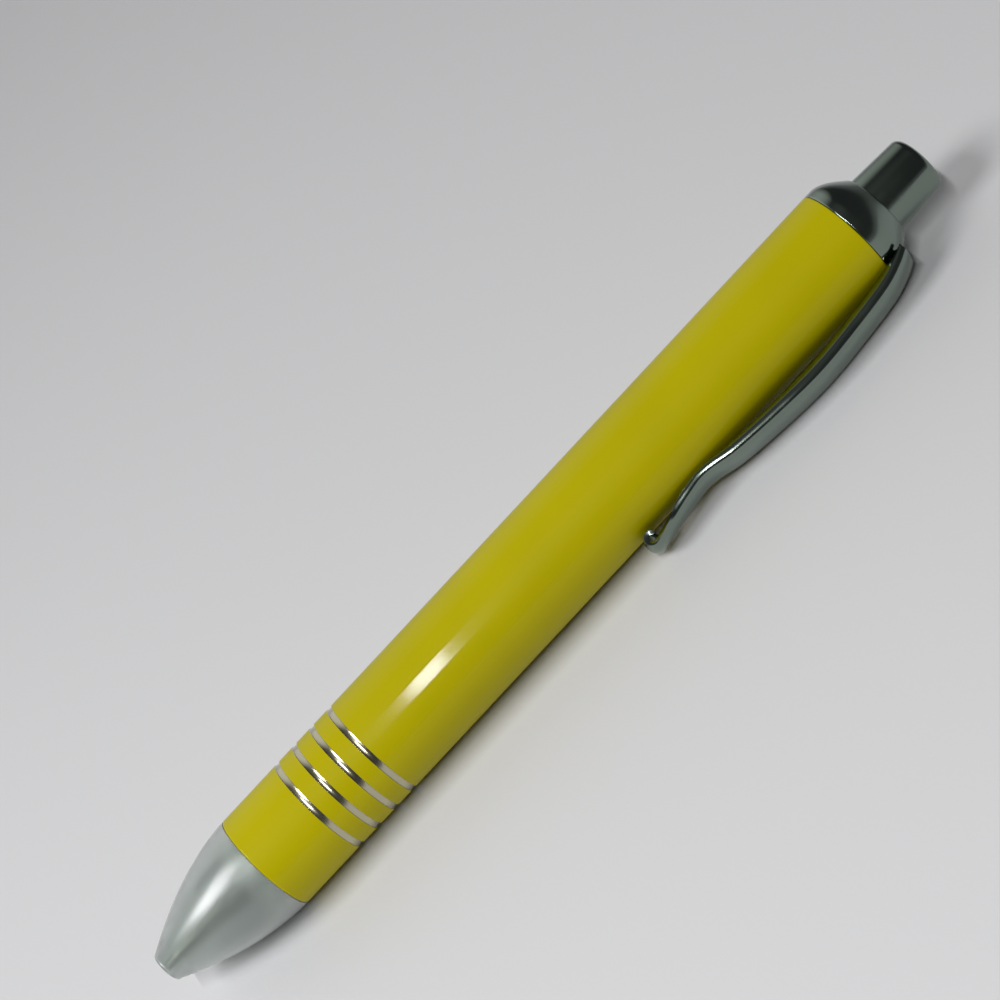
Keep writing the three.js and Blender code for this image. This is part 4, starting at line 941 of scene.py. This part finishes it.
    def build_clip(self) -> None:
        """Forms the clip from a strip of sheet: crowned face, folded walls, curled foot and tang."""
        places = self.face()
        (x0, z0), (x1, z1) = places[0], places[1]
        columns = self.face_columns + self.fold_columns + self.wall_columns
        clip = Piece("pocket_clip_channel", bpy.ops.mesh.primitive_grid_add, x_subdivisions=1,
                     y_subdivisions=2 * columns, size=1)
        clip.item.scale = ((x1 - x0) * MM, 2 * self.foot_half_width * MM, 1)
        clip.item.location = (self.axis.x((x0 + x1) / 2), 0, z0 * MM)
        clip.settle()
        with clip.editing():
            level = [(self.foot_half_width * share, 0.0) for share in shares(columns)]
            for station in (x0, x1):
                self.fit_row(clip, station, z0, level, self.section(x0, z0))
            clip.pick_row(self.axis.x(x1))
            bpy.ops.transform.translate(value=(0, 0, (z1 - z0) * MM))
            self.fit_row(clip, x1, z1, self.section(x0, z0), self.section(x1, z1))
            for (x0, z0), (x1, z1) in zip(places[1:], places[2:]):
                clip.pick_row(self.axis.x(x0))
                step = ((x1 - x0) * MM, 0, (z1 - z0) * MM)
                bpy.ops.mesh.extrude_region_move(TRANSFORM_OT_translate={"value": step})
                self.fit_row(clip, x1, z1, self.section(x0, z0), self.section(x1, z1))
            self.curl_foot(clip, places)
        clip.weld()
        self.face_up(clip)
        clip.modify("SOLIDIFY", thickness=self.thickness * MM, offset=-1, use_even_offset=True)
        clip.soften(self.softness, angle=50)
        tang = self.tang_block("tang", 0.0, places[-1][1] - self.crown / 2)
        tang.soften(self.tang_softness)
        clip.combine(tang, "UNION")
        clip.lay(self.axis, self.roll)
        self.complete(clip, Body.CLIP, Slot.CHROME, "pocket_clip", angle=40)

    def fit_row(self, clip: Piece, station: float, height: float, old: Sequence[Cut],
                new: Sequence[Cut]) -> None:
        """Moves the points of one row of the strip from one section to another.

        Args:
            clip: the strip, in edit mode.
            station: the row's station.
            height: height of its crest above the axis.
            old: the section that the row has.
            new: the section that it gets.
        """
        row = self.axis.x(station)
        for (across, drop), (new_across, new_drop) in zip(old, new):
            side, level = across * MM, (height - drop) * MM
            clip.pick(lambda p: (abs(p.x - row) < WELD and abs(abs(p.y) - side) < WELD / 2
                                 and abs(p.z - level) < WELD / 2))
            if across:
                share = new_across / across
                bpy.ops.transform.resize(value=(1, share, 1), center_override=(row, 0, level))
            bpy.ops.transform.translate(value=(0, 0, (drop - new_drop) * MM))

    def curl_foot(self, clip: Piece, places: Sequence[Cut]) -> None:
        """Curls the sheet's front end under, round a centre below it.

        Args:
            clip: the strip, in edit mode.
            places: station and height of the clip's face.
        """
        (x0, z0), (x1, z1) = places[0], places[1]
        length = math.hypot(x1 - x0, z1 - z0)
        way = ((x1 - x0) / length, (z1 - z0) / length)
        centre = (self.axis.x(x0 + way[1] * self.curl_radius), 0, (z0 - way[0] * self.curl_radius) * MM)
        curl = math.radians(self.curl_turn)
        clip.pick_row(self.axis.x(x0))
        bpy.ops.mesh.spin(steps=self.curl_steps, angle=curl, center=centre, axis=(0, 1, 0))
        slack = (self.curl_radius - self.tuck_radius) * MM
        turned = curl + math.atan2(way[1], way[0])
        tuck = (centre[0] - slack * math.sin(turned), 0, centre[2] + slack * math.cos(turned))
        bpy.ops.mesh.spin(steps=self.tuck_steps, angle=math.radians(self.tuck_turn), center=tuck,
                          axis=(0, 1, 0))

    @staticmethod
    def face_up(clip: Piece) -> None:
        """Turns the open sheet's faces up where they point down.

        Args:
            clip: the formed sheet.
        """
        top = max(clip.item.data.polygons, key=lambda face: face.center.z)
        if top.normal.z < 0:
            with clip.editing():
                bpy.ops.mesh.flip_normals()


@dataclass
class PushButton(SubAssembly):
    """The push button, a slim thimble with a stop flange."""

    end: float = 131.79
    crown: float = 1.4
    front: float = 118.4
    flange_front: float = 119.6
    flange_rear: float = 120.9
    flange_radius: float = 5.1
    radius: float = 4.2
    end_radius: float = 3.85
    edge: float = 0.9
    guided_end: float = 124.1
    hollow_radius: float = 3.3
    hollow_edge: float = 0.4

    def build(self) -> None:
        """Turns the button."""
        roof = self.end - self.crown
        corner = self.hollow_radius - self.hollow_edge
        cuts = rounded(roof - self.hollow_edge, corner, self.hollow_edge, 0, 90, 4)
        cuts += [(self.front, self.hollow_radius), (self.front, self.radius),
                 (self.flange_front, self.radius), (self.flange_front, self.flange_radius),
                 (self.flange_rear, self.flange_radius), (self.flange_rear, self.radius),
                 (self.guided_end, self.radius)]
        cuts += rounded(self.end - self.edge, self.end_radius - self.edge, self.edge, 90, 0, 8)
        button = self.turn("push_button_thimble", cuts, walled=False)
        self.complete(button, Body.BUTTON, Slot.CHROME, "push_button", bevel=0.06)


@dataclass
class LampUnit(SubAssembly):
    """The lamp, with the posts that stand in its lens.

    Each post is given by its name, its side of the lamp, how far it stands up, and its head's radius.
    """

    front: float = 9.6
    length: float = 5.0
    dome: float = 1.5
    dome_steps: int = 10
    tip_share: float = 0.02
    radius: float = 1.502
    offset: float = 3.402
    flange_radius: float = 1.652
    flange_length: float = 0.7
    post_radius: float = 0.22
    post_spacing: float = 1.0
    post_sink: float = 0.15
    posts: tuple[tuple[str, int, float, float], ...] = (
        ("lamp_post_cup", -1, 2.3, 0.44), ("lamp_post_anvil", 1, 1.6, 0.308))
    head_length: float = 0.7
    head_rim: float = 0.25

    def build(self) -> None:
        """Makes the lens and the posts inside it."""
        base = self.front + self.length
        flange = base - self.flange_length
        cuts = []
        for share in shares(self.dome_steps):
            turn = math.pi / 2 * (self.tip_share + (1 - self.tip_share) * share)
            cuts.append((self.front + self.dome * (1 - math.cos(turn)), self.radius * math.sin(turn)))
        cuts += [(flange, self.radius), (flange, self.flange_radius), (base, self.flange_radius)]
        lens = self.turn("lamp_lens_body", cuts, sides=64, walled=False, lift=self.offset)
        self.complete(lens, Body.BARREL, Slot.LENS, "led_lamp", bevel=0.05)
        for name, side, height, head in self.posts:
            tip = base - height
            cuts = [(base - self.post_sink, self.post_radius), (tip + self.head_length, self.post_radius),
                    (tip + self.head_rim, head), (tip, head)]
            post = self.turn(name, cuts, sides=20, walled=False, lift=self.offset)
            with post.editing():
                bpy.ops.transform.translate(value=(0, side * self.post_spacing / 2 * MM, 0))
            self.complete(post, Body.BARREL, Slot.SPRING, bevel=0.03)


@dataclass
class RefillUnit(SubAssembly):
    """The writing end and the tube of the refill."""

    point: float = 0.75
    socket: float = 0.4
    point_radius: float = 0.46
    cone_length: float = 2.2
    step_radius: float = 0.98
    neck_length: float = 0.9
    groove: tuple[float, float, float] = (0.1, 0.25, 0.35)
    groove_depth: float = 0.09
    tip_radius: float = 1.15
    ball_radius: float = 0.35
    ball_cuts: int = 7
    front: float = 10.5
    lap: float = 0.1
    rear: float = 71.0
    tube_radius: float = 1.5
    tube_bore: float = 1.1
    tail_radius: float = 1.0
    tail_length: float = 4.0

    def build(self) -> None:
        """Makes the tip, the ball and the tube."""
        cone = self.point + self.cone_length
        neck = cone + self.neck_length
        start, floor, end = (neck + along for along in self.groove)
        shoulder = self.front - self.lap
        bottom = self.tip_radius - self.groove_depth
        cuts = [(self.point + self.socket, self.socket), (self.point, self.socket),
                (self.point, self.point_radius), (cone, self.step_radius), (cone, self.tip_radius),
                (neck, self.tip_radius), (start, bottom), (floor, bottom), (end, self.tip_radius),
                (shoulder, self.tip_radius), (shoulder, self.tail_radius),
                (self.front + self.tail_length, self.tail_radius)]
        tip = self.turn("refill_tip_turned", cuts, sides=56, walled=False)
        self.complete(tip, Body.REFILL, Slot.NICKEL, "refill_tip", bevel=0.03)
        self.build_ball()
        cuts = [(self.front, self.tube_bore), (self.front, self.tube_radius), (self.rear, self.tube_radius),
                (self.rear, self.tube_bore)]
        tube = self.turn("refill_tube_drawn", cuts, sides=56)
        tube.item.data.materials.append(self.materials["clear_tube"])
        self.complete(tube, Body.REFILL, Slot.NATURAL, "refill_tube", bevel=0.06)

    def build_ball(self) -> None:
        """Rounds a cube into the writing ball."""
        centre = self.axis.at(self.point)
        ball = Piece("writing_ball", bpy.ops.mesh.primitive_cube_add,
                     size=2 * self.ball_radius * MM / math.sqrt(3), location=centre)
        with ball.editing():
            bpy.ops.mesh.subdivide(number_cuts=self.ball_cuts)
            bpy.ops.transform.tosphere(value=1.0, center_override=centre)
        self.complete(ball, Body.REFILL, Slot.CARBIDE, "refill_ball", angle=60)


@dataclass
class SpringSet(SubAssembly):
    """The return spring and the spring behind the cells."""

    seat: float = 20.1
    collar: float = 43.9
    coil_radius: float = 2.1
    wire: float = 0.45
    turns: int = 12
    cell_front: float = 91.3
    cell_rear: float = 94.9
    cell_coil_radius: float = 2.6
    cell_wire: float = 0.35
    cell_turns: int = 3
    wire_sides: int = 12
    steps: int = 28
    stroke: float = 5.6

    def build(self) -> None:
        """Winds both springs."""
        spring = self.wind("return_spring_wire", self.seat, self.collar, self.coil_radius, self.wire,
                           self.turns)
        self.complete(spring, Body.BARREL, Slot.SPRING, "return_spring", angle=50)
        free = self.collar - self.seat
        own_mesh(spring.item, "refill_advance", axis=(1, 0, 0), anchor=tuple(self.axis.at(self.seat)),
                  keep=(free - self.stroke) / free)
        spring = self.wind("cell_spring_wire", self.cell_front, self.cell_rear, self.cell_coil_radius,
                           self.cell_wire, self.cell_turns)
        self.complete(spring, Body.REFILL, Slot.SPRING, "cell_spring", angle=50)

    def wind(self, name: str, front: float, rear: float, radius: float, wire: float, turns: int) -> Piece:
        """Winds a round wire into a spring along the axis.

        Args:
            name: the piece's name.
            front: station of its front seat.
            rear: station of its rear seat.
            radius: distance of the wire's middle from the axis.
            wire: the wire's diameter.
            turns: number of turns.

        Returns:
            The spring, with faced ends.
        """
        spring = Piece(
            name, bpy.ops.mesh.primitive_circle_add, vertices=self.wire_sides, radius=wire / 2 * MM,
            rotation=(math.pi / 2, 0, 0), location=(self.axis.x(front + wire / 2), 0, radius * MM))
        spring.wind(self.axis, turns, (rear - front - wire) / turns, self.steps)
        return spring


@dataclass
class InnerWorks(SubAssembly):
    """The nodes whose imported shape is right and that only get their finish."""

    def build(self) -> None:
        """Dresses every carried-over node."""
        nodes = {
            Slot.NATURAL: ("thrust_cam", "click_guide", "battery_sleeve"),
            Slot.WHITE: ("cam_rotor", "inner_carrier", "led_holder"),
            Slot.SPRING: ("led_anode_lead", "led_cathode_lead"),
            Slot.BRASS: ("anode_strip", "earth_ring", "barrel_contact", "refill_collar", "sliding_contact",
                         "front_contact", "tail_contact"),
            Slot.BLACK: ("refill_socket",),
            Slot.INK: ("ink_column",),
            Slot.CELL: ("button_cell_1", "button_cell_2", "button_cell_3"),
        }
        for slot, name in ((slot, name) for slot, names in nodes.items() for name in names):
            material = self.materials[slot]
            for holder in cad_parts[name].material_slots:
                holder.material = material
            log.info("%s keeps its shape and gets %s", name, material.name)


def stand(name: str, data: bpy.types.ID, place: Place) -> bpy.types.Object:
    """Stands a lamp or the camera in the scene.

    Args:
        name: its name.
        data: the lamp's or camera's own data.
        place: where it stands, in metres.

    Returns:
        Its object, not yet turned.
    """
    item = bpy.data.objects.new(name, data)
    bpy.context.scene.collection.objects.link(item)
    item.location = place
    return item


@dataclass(frozen=True)
class Lamp:
    """A soft rectangular lamp, with its place, aim and size in metres and its power in watts."""

    name: str
    place: Place
    aim: Place
    size: tuple[float, float]
    power: float

    def build(self) -> None:
        """Stands the lamp in the scene."""
        data = bpy.data.lights.new(self.name, "AREA")
        data.shape = "RECTANGLE"
        data.size, data.size_y = self.size
        data.energy = self.power
        way = Vector(self.aim) - Vector(self.place)
        stand(self.name, data, self.place).rotation_euler = way.to_track_quat("-Z", "Y").to_euler()


@dataclass
class Studio:
    """The floor, the lights and the camera. Lengths are in metres.

    The sky gives its brightness at each height, from -1 straight down to 1 straight up.
    """

    materials: dict[str, bpy.types.Material]
    floor_size: float = 6.0
    camera_place: Place = (0.00307, -0.21197, 0.18286)
    camera_turn: Place = (41.44, 35.523, -33.112)
    lens: float = 83.41
    sensor: float = 36.0
    nearest: float = 0.01
    lamps: tuple[Lamp, ...] = (
        Lamp("streak_lamp", (-0.0662, -0.3293, 0.5084), (-0.0662, 0.0017, 0.014), (0.018, 0.28), 1.5),
        Lamp("nose_lamp", (-0.385, -0.07, 0.505), (-0.045, 0.0017, 0.007), (0.25, 0.28), 2.25),
    )
    sky: tuple[tuple[float, float], ...] = (
        (-1.0, 0.2), (0.04, 0.2), (0.2, 0.048), (0.9, 0.048), (1.0, 0.12))
    sky_blue: float = 1.04
    fill_way: Place = (-0.25, 0.83, 0.5)
    fill_level: float = 0.8
    fill_edges: tuple[float, float] = (0.72, 0.95)

    def build(self) -> None:
        """Sets everything up."""
        self.build_floor()
        self.build_sky()
        for lamp in self.lamps:
            lamp.build()
        self.build_camera()
        bpy.context.scene.view_settings.view_transform = "Standard"

    def build_floor(self) -> None:
        """Lays the plain pale floor."""
        floor = Piece("floor", bpy.ops.mesh.primitive_plane_add, size=self.floor_size).item
        floor.data.materials.append(self.materials["floor"])

    def build_sky(self) -> None:
        """Lights the pen softly from above, with a dimmer room round it."""
        world = bpy.data.worlds.new("soft_studio")
        bpy.context.scene.world = world
        world.use_nodes = True
        sheet = Sheet(world.node_tree)
        way = sheet.node("ShaderNodeTexCoord").outputs["Generated"]
        height = sheet.node("ShaderNodeSeparateXYZ", None, Vector=way).outputs["Z"]
        ramp = sheet.node("ShaderNodeValToRGB", None, Fac=sheet.spread(height, -1.0, 1.0))
        stops = ramp.color_ramp.elements
        while len(stops) < len(self.sky):
            stops.new(0.5)
        for stop, (rise, level) in zip(stops, self.sky):
            stop.position = (rise + 1) / 2
            stop.color = (level, level, level * self.sky_blue, 1.0)
        nearness = sheet.node("ShaderNodeVectorMath", {"operation": "DOT_PRODUCT"}, i0=way, i1=self.fill_way)
        fill = sheet.spread(nearness.outputs["Value"], *self.fill_edges, 0.0, self.fill_level)
        light = sheet.node("ShaderNodeMix", {"data_type": "RGBA", "blend_type": "ADD"}, i0=1.0,
                           i6=ramp.outputs["Color"], i7=fill)
        sheet.feed(world.node_tree.nodes["Background"].inputs["Color"], light.outputs[2])

    def build_camera(self) -> None:
        """Stands the camera where the photograph was taken from."""
        data = bpy.data.cameras.new("camera")
        data.lens = self.lens
        data.sensor_width = self.sensor
        data.clip_start = self.nearest
        camera = stand("camera", data, self.camera_place)
        camera.rotation_euler = [math.radians(turn) for turn in self.camera_turn]
        bpy.context.scene.camera = camera


def main() -> None:
    """Builds every sub-assembly in order, then the studio."""
    logging.basicConfig(level=logging.INFO, format="%(name)s: %(message)s")
    axis = PenAxis.of_frame()
    effects = Effects()
    materials = {key: finish.build(effects) for key, finish in FINISHES.items()}
    for part in (BarrelShell, ClearNose, CapAndClip, PushButton, LampUnit, RefillUnit, SpringSet,
                 InnerWorks):
        part(axis, materials).build()
    Studio(materials).build()
    Piece.clear()


if __name__ == "__main__":
    main()
